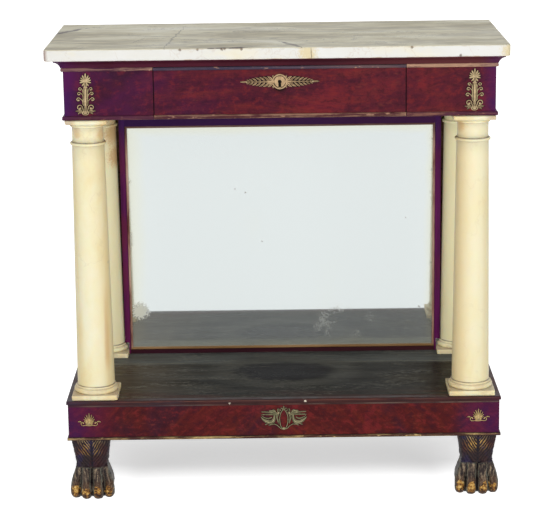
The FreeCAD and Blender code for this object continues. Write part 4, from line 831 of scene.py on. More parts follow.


class Shape:
    """Vertices in millimetres, faces and wear values of one piece, gathered bit by bit."""

    def __init__(self, halo=0):
        self.verts = []
        self.faces = []
        self.crest = []
        self.halo = halo

    def loft(self, rings, crests=None):
        """Joins rings of equal length, capped at both ends."""
        start = len(self.verts)
        size = len(rings[0])
        last = start + (len(rings) - 1) * size
        for number, ring in enumerate(rings):
            self.verts += ring
            self.crest += [0.5] * size if crests is None else crests[number]
        for low in range(start, last, size):
            for k in range(size):
                k2 = (k + 1) % size
                self.faces.append((low + k, low + k2, low + size + k2, low + size + k))
        self.faces.append(tuple(range(start + size - 1, start - 1, -1)))
        self.faces.append(tuple(range(last, last + size)))

    def absorb(self, other, across=0):
        """Takes in another shape, moved across."""
        shift = len(self.verts)
        self.verts += [(x + across, y, z) for x, y, z in other.verts]
        self.faces += [tuple(index + shift for index in face) for face in other.faces]
        self.crest += other.crest

    def blade(self, points, widths, heights, kind="round", side=1, count=14):
        """A leaf or stem on the upright face y = 0: a raised section swept along a path
        (across, up). It stands out to -y, in a rim of grime and painted shadow where the shape has
        one."""
        path = curve_through(points, count)
        wide = spread_out(widths, count)
        tall = spread_out(heights, count)
        steps, rises, marks = SECTIONS[kind]
        marks = [0, *marks, 0]
        rings = []
        for number, (x, z) in enumerate(path):
            along = path[min(number + 1, count - 1)] - path[max(number - 1, 0)]
            nx, nz = np.array((-along[1], along[0])) / (math.hypot(*along) or 1)
            half = max(wide[number], 0.12) / 2
            ring = [(side * (x + nx * half * t), -(BED + r * tall[number]), z + nz * half * t)
                    for t, r in zip(steps, rises)]
            ring = [(ring[0][0], 0, ring[0][2]), *ring, (ring[-1][0], 0, ring[-1][2])]
            rings.append(ring[::side])
        self.loft(rings, [marks[::side]] * count)
        if self.halo:
            self.grime_and_shadow_rim(rings)

    def grime_and_shadow_rim(self, rings):
        """A thin, wider strip under a blade: grime and painted shadow."""
        strips = []
        for ring in rings:
            x0, _, z0 = ring[0]
            x1, _, z1 = ring[-1]
            share = self.halo / (math.hypot(x1 - x0, z1 - z0) or 1)
            ex = (x1 - x0) * share
            ez = (z1 - z0) * share
            strips.append([(x0 - ex, 0, z0 - ez), (x0 - ex, -GRIME_AND_SHADOW_RISE, z0 - ez),
                           (x1 + ex, -GRIME_AND_SHADOW_RISE, z1 + ez), (x1 + ex, 0, z1 + ez)])
        self.loft(strips, [[-1] * 4] * len(strips))

    def both(self, *args, **kwargs):
        """The same blade on the right and mirrored on the left."""
        for side in (1, -1):
            self.blade(*args, side=side, **kwargs)

    def leaf(self, root, degrees, length, width, height=1.6, bend=0, side=1, kind="leaf"):
        """A pointed leaf from its root, optionally bent over its length."""
        widths = (width * 0.35, width * 0.85, width, width * 0.75, 0.2)
        heights = (height * 0.6, height, height, height * 0.8, height * 0.25)
        self.blade(leaf_rib(root, degrees, length, bend), widths, heights, kind, side)

    def leaves(self, *leaves):
        """Leaves (root, degrees, length, width, height, bend), on the right and left."""
        for leaf in leaves:
            for side in (1, -1):
                self.leaf(*leaf, side=side)

    def fan(self, root, leaves, height):
        """Leaves (degrees from upright, length, width) round a root, mirrored."""
        for lean, length, width in leaves:
            for side in mirrored(lean):
                self.leaf(root, 90 - lean, length, width, height, side=side)

    def petals(self, root, leaves, height):
        """Rounded petals (degrees from upright, length, width) round a root, mirrored."""
        for lean, length, width in leaves:
            widths = (width * 0.35, width * 0.6, width * 0.85, width, width * 0.45)
            heights = (height * 1.2, height, height * 0.9, height * 1.15, height * 0.4)
            for side in mirrored(lean):
                self.blade(leaf_rib(root, 90 - lean, length), widths, heights, "round", side, 12)

    def turned(self, centre, profile, facing="-y", segments=28, ellipse=1):
        """A turned form: profile of (radius, height) towards -y or +z from the centre."""
        rings = []
        crests = []
        for number, (radius, high) in enumerate(profile):
            radius = max(radius, 0.01)
            ring = circle(segments, radius, radius * ellipse)
            if facing == "-y":
                ring = [(a, -high, b) for a, b in ring]
            else:
                ring = [(a, b, high) for a, b in ring]
            rings.append([tuple(np.add(centre, point)) for point in ring])
            neighbours = profile[max(number - 1, 0)], profile[min(number + 1, len(profile) - 1)]
            proud = high >= min(neighbour[1] for neighbour in neighbours) + 0.05
            crests.append([1 if proud else 0.15] * segments)
        self.loft(rings, crests)

    def eyes(self, x, z, radius):
        """The small round bosses that close a pair of scrolls."""
        profile = ((radius, 0), (radius, 1.5), (radius * 0.65, 2.3), (0.1, 2.5))
        for side in (1, -1):
            self.turned((side * x, 0, z), profile, segments=14)

    def piece(self, name, place, material, body, *nodes):
        """Makes the object at its place, in metres, riding on a body."""
        verts = (np.array(self.verts) + np.array(place)) * MM
        made = mesh_piece(name, verts, self.faces, material, crest=self.crest)
        bm = bmesh.new()
        bm.from_mesh(made.data)
        bmesh.ops.recalc_face_normals(bm, faces=bm.faces)
        bm.to_mesh(made.data)
        bm.free()
        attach(made, body)
        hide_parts(*nodes)
        return made


def frieze_mount(side, word, lean):
    """Palmette above a lance leaf, with scrolls that widen down to a pair of big ones."""
    s = Shape(0.8)
    head = ((0, 17.6, 5), (25, 14.8, 5.4), (49, 13.2, 5.2), (74, 12, 4.9), (100, 11.8, 4.6),
            (143, 11.2, 4.8))
    s.petals((0, 71), head, 1.5)
    s.blade(((0, 60), (0, 68), (0, 76)), (5.5, 7.5, 3), (2, 2.4, 1.6), "leaf")
    s.turned((0, 0, 58.8), ((4.6, 0), (4.6, 1.4), (3.6, 2.1), (0.1, 2.3)), ellipse=0.4)
    s.blade(((0, 19), (0, 24), (0, 34), (0, 45), (0, 57)), (4, 13.5, 12.5, 12.5, 9),
            (1.5, 1.9, 2.2, 2.2, 1.7), "lance", count=20)
    for low, out, size, thick in ((55.7, 11.3, 3.2, 2.3), (46, 13.2, 3.5, 2.5), (34, 14.7, 3.9, 2.7)):
        path = [(4.6, low - 9), *curl((5.8, low - 3), (out, low), size, 150, -0.78, 0.55)]
        s.both(path, (1.6, thick, thick, thick * 0.9), (1.6, 1.9, 1.9, 1.5), count=26)
        s.eyes(out - 0.8, low - 1.6, thick * 0.72)
    path = [(2.6, 5), (5, 13), *curl((7, 19.5), (12.1, 17.2), 5.2, 110, -0.85, 0.5)]
    s.both(path, (2.4, 2.6, 2.8, 2.2), (1.7, 2.1, 2.1, 1.6), count=30)
    s.eyes(11.6, 15.4, 1.9)
    s.leaves(
        ((6, 9), -2, 15, 4.2, 1.7, 6),
        ((6.5, 8.5), -22, 11, 3.4, 1.4, -8),
        ((7, 11), 26, 8, 3, 1.3, -26),
        ((0.8, 8), 82, 16, 2.6, 1.5, 6),
    )
    s.leaf((0, 7), 90, 15, 2.8, 1.9)
    s.turned((0, 0, 5.6), ((7.6, 0), (7.6, 1.4), (6, 2.2), (4.4, 1.5), (2.8, 2.4), (0.1, 2.7)),
             ellipse=0.66)
    s.verts = [(x - (z - 10) * lean, y, z) for x, y, z in s.verts]
    low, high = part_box(f"frieze_mount_{word}")
    place = (side * COLUMN_X / MM, high.y / MM, low.z / MM + 0.4)
    s.piece(f"palmette_{word}", place, BRASS, "case", f"frieze_mount_{word}")


def keyhole_outline():
    """The outline's points (across, up): a round hole over a slot."""
    hole = 3.6
    slot_half = 2.6
    slot_top = -3.2
    slot_length = 8.6
    points = []
    for x, z in circle(72, 1, 1):
        if z < -0.8:
            down = min(1, (-z - 0.8) / 0.1)
            points.append((max(-1, min(1, x / 0.45)) * slot_half, slot_top - slot_length * down))
        else:
            points.append((x * hole, z * hole))
    return points


def escutcheon_plate():
    """Keyhole boss between two sprays of laurel."""
    s = Shape(0.5)
    boss = ((16.2, 0), (16.2, 0.9), (15.6, 1.9), (14.4, 2.4), (13.3, 2.1), (12.6, 1.3), (12, 1.2),
            (11.4, 1.5))
    keyhole = keyhole_outline()
    rings = [[(x, -high, z) for x, z in circle(72, radius, radius)] for radius, high in boss]
    rings.append([(x, -1.7, z - 2) for x, z in circle(72, 8, 9.6)])
    rings.append([(x * 1.18, -1.9, z * 1.1) for x, z in keyhole])
    rings += [[(x, -high, z) for x, z in keyhole] for high in (1.7, 0.9, 0)]
    marks = (0, 0.3, 0.9, 1, 0.6, 0.15, 0.15, 0.7, 0.85, 0.8, 0, 0, 0, 0)
    s.loft([*rings, rings[0]], [[mark] * len(keyhole) for mark in marks])
    s.faces = [face for face in s.faces if len(face) == 4]
    pairs = ((14, 15.5, 52, 5.6), (21.5, 16.6, 47, 4.3), (30.2, 15.6, 46, 4), (38.8, 14, 45, 3.8),
             (47.2, 12.2, 43, 3.5), (55.2, 9.8, 40, 3.2), (62.4, 7.6, 36, 2.8))
    edge = ((15, 9), (25, 11.6), (38, 11), (54, 7.6), (70, 1.6))
    ring = [(14, 0), *edge, *((x, -z) for x, z in edge[::-1])]
    for side in (1, -1):
        # Near-black plate under each spray: grime and painted shadow in the openwork between the
        # leaves.
        grime = [[(side * x, -high, z) for x, z in ring] for high in (0, 0.35)]
        s.loft(grime, [[-1] * len(ring)] * 2)
        s.blade(((14, 0), (40, 0), (68, 0)), (3.4, 2.2, 1.2), (2, 1.9, 1.3), side=side, count=12)
        s.blade(((11.5, 0), (17, 0), (23, 0), (29, 0)), (15, 11.5, 8.5, 2.5), (1.6, 2, 1.8, 1.2),
                "lance", side, 10)
        s.leaf((65, 0), 0, 17.3, 4, 1.6, side=side)
        for root, length, tilt, width in pairs:
            for up in (-1, 1):
                s.leaf((root, up * 0.8), up * (tilt + 9), length, width, 1.7, -up * 20, side=side)
        for up in (-1, 1):
            s.leaf((12, up * 6.5), up * 66, 7.5, 3.6, 1.6, up * 6, side=side)
    keyhole_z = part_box("escutcheon")[0].z / MM + 16.5
    place = (0, FRIEZE_FACE / MM, keyhole_z)
    s.piece("laurel_escutcheon", place, DARK_BRASS, "drawer", "escutcheon")


def plinth_corner_ornaments():
    """Small palmettes between scrolls that curl up at their ends."""
    part = Shape(0.5)
    part.fan((0, 6), ((0, 23, 3.2), (17, 21, 3), (34, 18.5, 2.8), (51, 15.5, 2.6),
                      (68, 12.5, 2.4)), 1.6)
    part.leaf((0, 3.5), 90, 13, 7, 2.3, kind="lance")
    part.leaves(((0.5, 3.5), 58, 11, 4.6, 2), ((1.5, 3), 22, 8.5, 3.4, 1.8, 14))
    part.blade(((-7, 1.5), (0, 1.2), (7, 1.5)), (1.6, 2.4, 1.6), (1.6, 2, 1.6))
    path = [(4, 3.2), (7.4, 2.4), *curl((9.2, 1.6), (13.6, 5.8), 5, 245, 0.86, 0.34)]
    part.both(path, (1.5, 1.7, 1.7, 1.3), (1.6, 1.8, 1.7, 1.3), count=34)
    part.eyes(13, 6.4, 1.2)
    part.leaves(
        ((16.6, 9.6), 26, 8.4, 2.2, 1.4, -34),
        ((17.8, 8), 66, 4.6, 1.8, 1.3, -20),
        ((8.6, 8.6), 118, 5.4, 2, 1.3, 30),
    )
    low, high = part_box("plinth_corner_mounts")
    reach = high.x / MM - 26.5
    s = Shape()
    s.absorb(part, -reach)
    s.absorb(part, reach)
    place = (0, PLINTH_FACE / MM, low.z / MM + 0.3)
    s.piece("plinth_palmettes", place, LIVE_BRASS, "case", "plinth_corner_mounts")


def plinth_centre_ornament():
    """A pointed oval ring between two spread wings on crossed stems."""
    s = Shape(0.7)
    oval = ((1.4, 1.5), (6.4, 9), (8.8, 20), (8.4, 31), (5.6, 40), (0.8, 46.4))
    s.both(oval, (1.8, 2.1, 2.1, 2.1, 1.8), (1.7, 2, 2, 2, 1.5), count=26)
    s.fan((0, 45), ((0, 9.6, 3.2), (52, 8.6, 2.8)), 1.5)
    s.leaves(
        ((4.6, 42), 24, 7.6, 2.6, 1.4, 30),
        ((6.5, 37), 10, 6.6, 2.4, 1.3, 50),
        ((15, 38), 26, 17.5, 6.6, 1.9, -8),
        ((17, 40), 58, 9.5, 4.2, 1.6, -20),
        ((12, 40), 72, 9, 3.6, 1.6, 24),
        ((20, 13.2), -12, 15, 2.8, 1.3, 30),
        ((25, 14), -34, 9, 2.2, 1.2, 10),
        ((34, 14.5), -30, 7.5, 2.2, 1.2, 10),
    )
    feathers = (
        (((13, 36), (24, 38.5), (36, 40.5), (48.2, 41)), (4.2, 3.4, 3, 1.4), (1.9, 1.9, 1.6, 0.9)),
        (((15, 34), (26, 35), (38, 35.2), (48.6, 34.6)), (3.4, 3, 2.6, 1.2), (1.8, 1.8, 1.5, 0.9)),
        (((26, 29), (32, 26), (40, 27.5), (47.5, 32)), (2.4, 3, 2.4, 0.8), (1.6, 1.7, 1.5, 0.8)),
        (((11, 38), (14.5, 30), (13, 22), (11, 14)), (4.4, 4.6, 3, 1.2), (1.9, 2, 1.6, 0.9)),
    )
    for path, widths, heights in feathers:
        s.both(path, widths, heights, "leaf", count=18)
    s.both(((20, 35), (20.5, 27), (24, 19.5), (33, 18), (42, 22.5), (48.8, 29.5)),
           (3.4, 5.4, 8.4, 9, 5.6, 0.9), (1.9, 2.2, 2.4, 2.3, 1.8, 0.8), "lance", count=30)
    s.both(((0.8, 1.2), (7.5, 4.4), (14, 10.5), (21, 14)), (1.6, 2, 2, 1.6), (1.5, 1.8, 1.7, 1.2),
           count=18)
    s.turned((0, 0, 3.4), ((3, 0), (3, 1.5), (1.8, 2.3), (0.1, 2.6)), segments=16)
    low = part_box("plinth_mount_centre")[0]
    place = (0, PLINTH_FACE / MM, low.z / MM)
    s.piece("winged_oval", place, GREEN_BRASS, "case", "plinth_mount_centre")


def rounded_ring(half_x, half_y, corner, z, centre=(0, 0)):
    """A rounded rectangle as a ring of points."""
    ring = []
    for quarter in range(4):
        cx = (half_x - corner) * (1 if quarter in (0, 3) else -1)
        cy = (half_y - corner) * (1 if quarter < 2 else -1)
        for step in range(9):
            angle = math.radians(quarter * 90 + 90 * step / 8)
            ring.append((centre[0] + cx + corner * math.cos(angle),
                         centre[1] + cy + corner * math.sin(angle), z))
    return ring


def slab(shape, half, low, high, ease, place):
    """A square block with eased edges, fine enough for its corners to be worn."""
    side = high - low - 2 * ease
    rows = [(low, ease), (low + ease * 0.3, ease * 0.3)]
    rows += [(low + ease + side * k / 4, 0) for k in range(4)]
    rows += [(high - ease, 0), (high - ease * 0.3, ease * 0.3), (high, ease)]
    rings = []
    for z, inset in rows:
        plain = rounded_ring(half - inset, half - inset, 2.5, z, place)
        ring = []
        for number, point in enumerate(plain):
            after = plain[(number + 1) % len(plain)]
            ring.append(point)
            if math.dist(point, after) > 20:
                ring += between(point, after, 16)
        rings.append(ring)
    shape.loft(rings)


def arc_profile(radius, centre_r, centre_z, start, end, steps):
    """Points of a moulding's round, from one angle to another."""
    angles = (math.radians(start + (end - start) * k / steps) for k in range(steps + 1))
    return [(centre_r + radius * math.cos(a), centre_z + radius * math.sin(a)) for a in angles]


def column_parts(place, neck, low, top):
    """Base, shaft and capital of a turned column between two heights."""
    base, shaft, capital = Shape(), Shape(), Shape()
    foot = low + 26.5
    ring = top - neck - 17
    bell_top = ring + neck
    slab(base, 49.3, low, low + 11, 1.4, place)
    torus = [(40, low + 10.9), *arc_profile(5.2, 42.1, low + 16.2, -88, 88, 12), (42.2, low + 21.6),
             (42.5, low + 22.4), (42.4, low + 25.4), (41.6, low + 26.3)]
    body = [(39.2, foot), (39.9, foot + 0.9)]
    for share in np.linspace(0, 1, 17):
        swell = 0.5 * share * (1 - share)
        body.append((40 - 6 * share + swell, foot + 2 + (ring - 9.2 - foot) * share))
    body += [*arc_profile(3.3, 34.6, ring - 3.5, -80, 80, 8), (33.6, ring)]
    bell = [(33.2, ring), (33, ring + neck * 0.5), (33.2, bell_top - 0.3),
            *arc_profile(1.9, 34.6, bell_top + 2, -85, 85, 6), (35.6, bell_top + 4.4),
            (36.9, bell_top + 5.8), (38.6, bell_top + 7.4), (39.8, bell_top + 8.6),
            (40, bell_top + 9.2)]
    for shape, profile in ((base, torus), (shaft, body), (capital, bell)):
        shape.turned((*place, 0), profile, "+z", 96)
    slab(capital, 44.8, top - 8, top, 1.2, place)
    return {"base": base, "shaft": shaft, "capital": capital}


COLUMN_ROW = 160  # about how far the columns stand in front and behind


def knocked(shape, seed, knocks):
    """Breaks bits off a piece, toward its column's axis."""
    moved = []
    for vert in shape.verts:
        at = Vector(vert)
        for x, y, z, reach, deep in knocks:
            off = (at - Vector((x, y, z))).length
            if off < reach:
                axis = Vector((math.copysign(COLUMN_X / MM, x), math.copysign(COLUMN_ROW, y), z))
                toward = axis - at
                toward.z *= 0.3
                toward.normalize()
                rough = 0.7 + 0.6 * noise.noise(at * 0.3 + Vector((seed, 0, 0)))
                at = at + toward * deep * (1 - off / reach) ** 0.6 * rough
        moved.append(tuple(at))
    shape.verts = moved


def columns(material):
    """The four stone columns."""
    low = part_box("base_front_left")[0].z / MM
    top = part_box("capital_front_left")[1].z / MM
    # Each knock: its place, how far it reaches and how deep it is.
    knocks = {
        ("base", -1, True): [(-354, -206, 235, 16, 5), (-354, -150, 235, 14, 3)],
        ("base", 1, True): [(453, -206, 235, 9, 2), (354, -206, 224, 7, 1.5)],
        ("capital", -1, True): [(-448, -202, 820, 14, 5), (-358, -202, 820, 16, 5.5)],
        ("capital", 1, True): [(358, -202, 820, 13, 4.5), (420, -202, 820, 6, 1.6)],
        ("base", -1, False): [(-354, 113, 235, 8, 2)],
        ("capital", 1, False): [(358, 117, 820, 12, 4)],
    }
    front_row = box_middle("base_front_right").y / MM
    rear_row = box_middle("bases_rear").y / MM
    rear = {}
    for side, word in ((-1, "left"), (1, "right")):
        for front, row, neck in ((True, front_row, 32), (False, rear_row, 49)):
            parts = column_parts((side * COLUMN_X / MM, row), neck, low, top)
            for kind, shape in parts.items():
                knocked(shape, side * 5, knocks.get((kind, side, front), ()))
                if front:
                    node = f"{kind}_front_{word}"
                    shape.piece(f"turned_{node}", (0, 0, 0), material, "case", node)
                else:
                    rear.setdefault(kind, Shape()).absorb(shape)
    for kind, shape in rear.items():
        shape.piece(f"turned_{kind}s_rear", (0, 0, 0), material, "case", f"{kind}s_rear")


def slab_outline(low, high, corner):
    """The marble's outline from above, with its front corners rounded."""
    left, right, front = low.x + corner, high.x - corner, low.y + corner
    outline = arc_profile(corner, left, front, 180, 270, 8)
    outline += between((left, low.y), (right, low.y), 190)
    outline += arc_profile(corner, right, front, 270, 360, 8)
    ends = [(high.x, front), (high.x, high.y), (low.x, high.y), (low.x, front)]
    for start, end in zip(ends, ends[1:]):
        outline += [*between(start, end, max(2, round(math.dist(start, end) / 7))), end]
    return outline[:-1]


def marble_slab(material):
    """The top: front corners rounded, arrises worn and chipped."""
    low, high = (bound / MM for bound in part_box("marble_top"))
    corner = 11
    outline = slab_outline(low, high, corner)
    near = corner + 0.01
    tall = high.z - low.z
    # How far along the front, whether on the upper arris, how deep and how wide.
    chips = ((-213, True, 2.6, 5), (-141, True, 2.2, 4), (-80, True, 1.8, 4), (272, True, 2.8, 6),
             (372, False, 2.2, 7), (-470, False, 2.6, 9), (118, False, 1.6, 5),
             (-330, False, 1.4, 6))
    profile = ((0, 2), (0.5, 0.7), (1.8, 0.08), (6, 0.02), (12, 0), (18, 0.02),
               (tall - 1.8, 0.08), (tall - 0.5, 0.7), (tall, 2))
    rings = []
    for up, inset in profile:
        ring = []
        upper = up > tall / 2
        for x, y in outline:
            worn = inset
            if inset > 0.05:
                worn += abs(noise.noise(Vector((x * 0.05, y * 0.05, 7 if upper else 1)))) * 0.9
                for chip_x, chip_upper, deep, wide in chips:
                    if y < low.y + corner + 1 and chip_upper == upper:
                        worn += deep * math.exp(-((x - chip_x) / wide) ** 2) * min(inset, 1)
            inward = Vector(((x < low.x + near) - (x > high.x - near),
                             (y < low.y + near) - (y > high.y - 0.01))).normalized()
            ring.append((x + inward.x * worn, y + inward.y * worn, low.z + up))
        rings.append(ring)
    s = Shape()
    s.loft(rings)
    made = s.piece("marble_slab", (0, 0, 0), material, "case", "marble_top")
    for face in made.data.polygons:
        if len(face.vertices) > 4:
            face.use_smooth = False


# Sections of a front foot's leg: height, half width, front, back, corner.
LEG = (
    (0, 36, -22, 50, 16), (5, 40, -25, 55, 18), (18, 43, -27, 57, 18), (34, 41, -28, 55, 18),
    (48, 37, -28, 49, 16), (60, 33.5, -29, 43, 14), (69, 31.5, -31, 38, 12),
    (73, 33, -32.5, 36, 11), (84, 33.6, -33.5, 35, 11), (96, 35, -35, 36, 10),
    (108, 37, -37, 38, 10), (120, 39, -39, 39.5, 9), (128, 40, -40, 40, 8), (136, 40, -40, 40, 8),
)
# Sections of a toe: height, front, radius, how far out it stands; and of its claw: height,
# front, half width, half depth.
TOE = (
    (77, -25, 5.5, 0.76), (72, -28.5, 9, 0.71), (65, -31, 11, 0.72), (57, -32, 11.4, 0.79),
    (47, -32, 11.4, 0.87), (36, -32, 11.6, 0.95), (25, -32.5, 12.1, 0.985), (15, -33, 12.2, 0.98),
    (7, -32.5, 11.4, 0.97), (2, -31.5, 9.4, 0.96), (0, -31, 7.6, 0.96),
)
CLAW = ((36, -41, 3, 2), (31, -42.2, 6, 3.2), (23, -43, 7.6, 3.6), (14, -42.8, 7.2, 3.4),
        (6, -41.2, 5.4, 3), (1, -39, 3, 2))
TOES = (-37, -12.8, 12.8, 37)
OUTER_BACK = 9  # how far back the outer toes stand
PAW_LIMITS = ((-48.2, 48.2), (-46.5, 58), (0, 136))
PAW_MIDDLE = -163.5


def paw_blank():
    """Leg, toes and claws of a front foot as overlapping lofts."""
    s = Shape()
    s.loft([rounded_ring(half, (back - front) / 2, corner, z, (0, (front + back) / 2))
            for z, half, front, back, corner in LEG])
    for toe in TOES:
        outer = abs(toe) == max(TOES)
        back = OUTER_BACK if outer else 0
        rings = []
        for z, y, radius, spread in TOE:
            radius *= 0.98 if outer else 1.05
            spread = spread if outer else 1 - (1 - spread) * 0.4
            at = y + back * (1 - max(0, (z - 40) / 45))
            rings.append([(toe * spread + a, at + b, z) for a, b in circle(24, radius * 0.96, radius)])
        s.loft(rings)
        s.loft([[(toe * 0.98 + a, y + back + b, z) for a, b in circle(16, wide, deep)]
                for z, y, wide, deep in CLAW])
    return s


def remeshed(shape, voxel):
    """Vertices, normals and faces of the shape as one skin."""
    mesh = bpy.data.meshes.new("blank")
    mesh.from_pydata(shape.verts, [], shape.faces)
    blank = bpy.data.objects.new("blank", mesh)
    bpy.context.scene.collection.objects.link(blank)
    step = blank.modifiers.new("skin", "REMESH")
    step.mode = "VOXEL"
    step.voxel_size = voxel
    ease = blank.modifiers.new("ease", "SMOOTH")
    ease.iterations = 3
    bpy.context.view_layer.update()
    graph = bpy.context.evaluated_depsgraph_get()
    done = bpy.data.meshes.new_from_object(blank.evaluated_get(graph))
    bpy.data.objects.remove(blank)
    verts, normals = np.zeros((2, len(done.vertices) * 3), np.float32)
    done.vertices.foreach_get("co", verts)
    done.vertices.foreach_get("normal", normals)
    faces = [tuple(face.vertices) for face in done.polygons]
    bpy.data.meshes.remove(done)
    return verts.reshape(-1, 3).astype(float), normals.reshape(-1, 3).astype(float), faces


def smooth_step(value, low, high):
    """From 0 to 1 as the value goes from low to high."""
    share = np.clip((value - low) / (high - low), 0, 1)
    return share * share * (3 - 2 * share)


def field(verts, scale, seed):
    """Noise at each vertex."""
    return np.array([noise.noise(Vector((a, b, c + seed))) for a, b, c in verts * scale])


def carve_paw(verts, normals, seed):
    """Cuts strands into the leg and creases into the toes. Gives the moved vertices, how
    proud each stands and how much of the claw's bare wood it shows."""
    x, y, z = verts.T
    rough = field(verts, np.array((0.10, 0.10, 0.07)), seed)
    fine = field(verts, np.array((0.45, 0.45, 0.30)), seed)
    facing_side = np.abs(normals[:, 0]) > np.abs(normals[:, 1])
    away = np.abs(np.where(facing_side, y - 1, x - 1.5))
    rise = z - 66
    bowed = away * 0.7 - rise * 0.7 + 0.0065 * rise * away + rough * 2.6
    strand = np.abs(np.cos(bowed * math.pi / 6)) ** 0.9
    ridge = strand * (0.15 + 0.85 * smooth_step(away, 0.8, 3.4))
    on_leg = smooth_step(z, 70, 76) * (1 - smooth_step(z, 133, 135.8))
    upright = 1 - smooth_step(np.abs(normals[:, 2]), 0.6, 0.9)
    moved = verts + normals * ((ridge - 0.8) * 3 * on_leg * upright)[:, None]
    on_toes = (1 - smooth_step(z, 66, 72)) * smooth_step(-y, 8, 16)
    crease = np.exp(-(((z - 58 + rough * 2) / 1.5) ** 2)) + 0.7 * np.exp(-(((z - 37) / 1.3) ** 2))
    moved -= normals * (crease * 0.6 * on_toes)[:, None]
    moved += normals * (rough * 0.8 + fine * 0.5)[:, None]
    toes = np.array(TOES)
    nearest = np.argmin(np.abs(x[:, None] - toes * 0.98), axis=1)
    outer = (nearest == 0) | (nearest == 3)
    spread = np.interp(z, (0, 25, 36, 57, 72), (0.97, 0.985, 0.95, 0.79, 0.71))
    spread = np.where(outer, spread, 1 - (1 - spread) * 0.4)
    off = np.abs(x - toes[nearest] * spread)
    toe_crest = 1 - smooth_step(off, 4.5, 12.2)
    toe_crest = np.where(np.abs(x) > 43, np.maximum(toe_crest, 0.45), toe_crest)
    leg_crest = ridge * (1 - 0.3 * smooth_step(away, 26, 38))
    crest = np.where(on_toes > 0.5, toe_crest, leg_crest * on_leg + 0.2 * (1 - on_leg))
    crest = crest + rough * 0.22 + fine * 0.16
    back = np.where(outer, OUTER_BACK, 0)
    reach = ((off + 4 * rough) / 9.2) ** 2 + ((z - 16 + 6 * rough) / 14) ** 2
    claw = (1 - smooth_step(reach + fine * 0.5, 0.7, 1.1)) * smooth_step(back - y, 36.5, 39.5)
    moved += normals * (np.abs(fine) * claw * 1.6)[:, None]
    for axis, (low, high) in enumerate(PAW_LIMITS):
        moved[:, axis] = np.clip(moved[:, axis], low, high)
    return moved, np.clip(crest, 0, 1), np.clip(claw, 0, 1)


def paw_feet(material):
    """The two carved front feet."""
    verts, normals, faces = remeshed(paw_blank(), 1.2)
    for side, word in ((-1, "left"), (1, "right")):
        moved, crest, claw = carve_paw(verts, normals, 3 * side)
        placed = (moved + (box_middle(f"paw_foot_{word}").x / MM, PAW_MIDDLE, 0)) * MM
        piece = mesh_piece(f"carved_paw_{word}", placed, faces, material, crest, claw)
        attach(piece, "case")
        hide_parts(f"paw_foot_{word}")


# ---------------------------------------------------------------- camera and light


def set_camera():
    """The photograph's place and focal length, fitted to the corners of the table."""
    data = bpy.data.cameras.new("camera")
    data.sensor_width = 36
    data.lens = 131.43
    camera = bpy.data.objects.new("camera", data)
    bpy.context.scene.collection.objects.link(camera)
    yaw = Matrix.Rotation(-0.00064, 4, "Z")
    pitch = Matrix.Rotation(math.pi / 2 - 0.2388, 4, "X")
    roll = Matrix.Rotation(-0.01255, 4, "Z")
    camera.matrix_world = Matrix.Translation((-0.0109, -4.3561, 1.5345)) @ yaw @ pitch @ roll
    bpy.context.scene.camera = camera


def set_world():
    """White to the eye, in gloss and through glass; a soft light on everything else."""
    world = bpy.data.worlds.new("studio")
    bpy.context.scene.world = world
    world.use_nodes = True
    tree = Tree(world.node_tree)
    seen = tree.any_ray("Camera", "Glossy", "Transmission")
    soft = 0.44
    light = tree.nodes["Background"]
    tree.feed(light.inputs["Strength"], tree.node("MapRange", (seen, 0, 1, soft, 1)))
    tree.feed(light.inputs["Color"], (1, 1, 1))


def add_lamp(name, place, target, width, height, power):
    """A soft lamp aimed at the target, unseen in gloss."""
    data = bpy.data.lights.new(name, "AREA")
    data.shape = "RECTANGLE"
    data.size = width
    data.size_y = height
    data.energy = power
    lamp = bpy.data.objects.new(name, data)
    bpy.context.scene.collection.objects.link(lamp)
    lamp.location = place
    lamp.rotation_euler = (Vector(target) - Vector(place)).to_track_quat("-Z", "Y").to_euler()
    lamp.visible_glossy = False


def set_floor():
    """White floor that keeps the table's shadow: it glows, less so close to the table, which paints
    that shadow darker.
    """
    p = Paint("pale_floor", Roughness=0.9, Specular_IOR_Level=0)
    grain = p.mix(p.noise(3, 3), [0.79] * 3, [0.81] * 3)
    p.feed(p.shader.inputs["Base Color"], grain)
    half_width = 0.33
    back = 0.22
    front = 0.03
    outside_x = p.most(abs(p.x) - half_width, 0)
    behind = p.most(p.y - back, 0)
    ahead = p.most(front - p.y, 0)
    away = (outside_x * outside_x + behind * behind) ** 0.5 + ahead * 1.9
    # Less glow under and close to the table: a painted shadow, a soft patch darker toward the back.
    glow = away.band(0, 0.34, 0.47, 1) * p.any_ray("Camera")
    near = p.node("Emission", {"Strength": glow})
    lit = p.node("AddShader", (Value(p, p.shader.outputs[0]), near))
    shown = p.node("MixShader", (p.any_ray("Glossy", "Transmission"), lit, p.node("Emission")))
    p.feed(p.nodes["Material Output"].inputs["Surface"], shown)
    size = 40
    corners = [(-size, -size, 0), (size, -size, 0), (size, size, 0), (-size, size, 0)]
    floor = mesh_piece("floor", corners, [(0, 1, 2, 3)], p.mat, smooth=False)


set_camera()
set_world()
set_floor()
add_lamp("key", (2.3, -3.6, 1.6), (0, 0, 0.55), 2.0, 1.6, 48)
add_lamp("fill", (-2.5, -3.2, 1.1), (0, 0, 0.5), 2.0, 1.4, 27)
add_lamp("front", (0, -4.6, 0.95), (0, 0, 0.55), 1.6, 1.0, 56)
bpy.context.scene.view_settings.view_transform = "Standard"

# ---------------------------------------------------------------- finishes of the solids

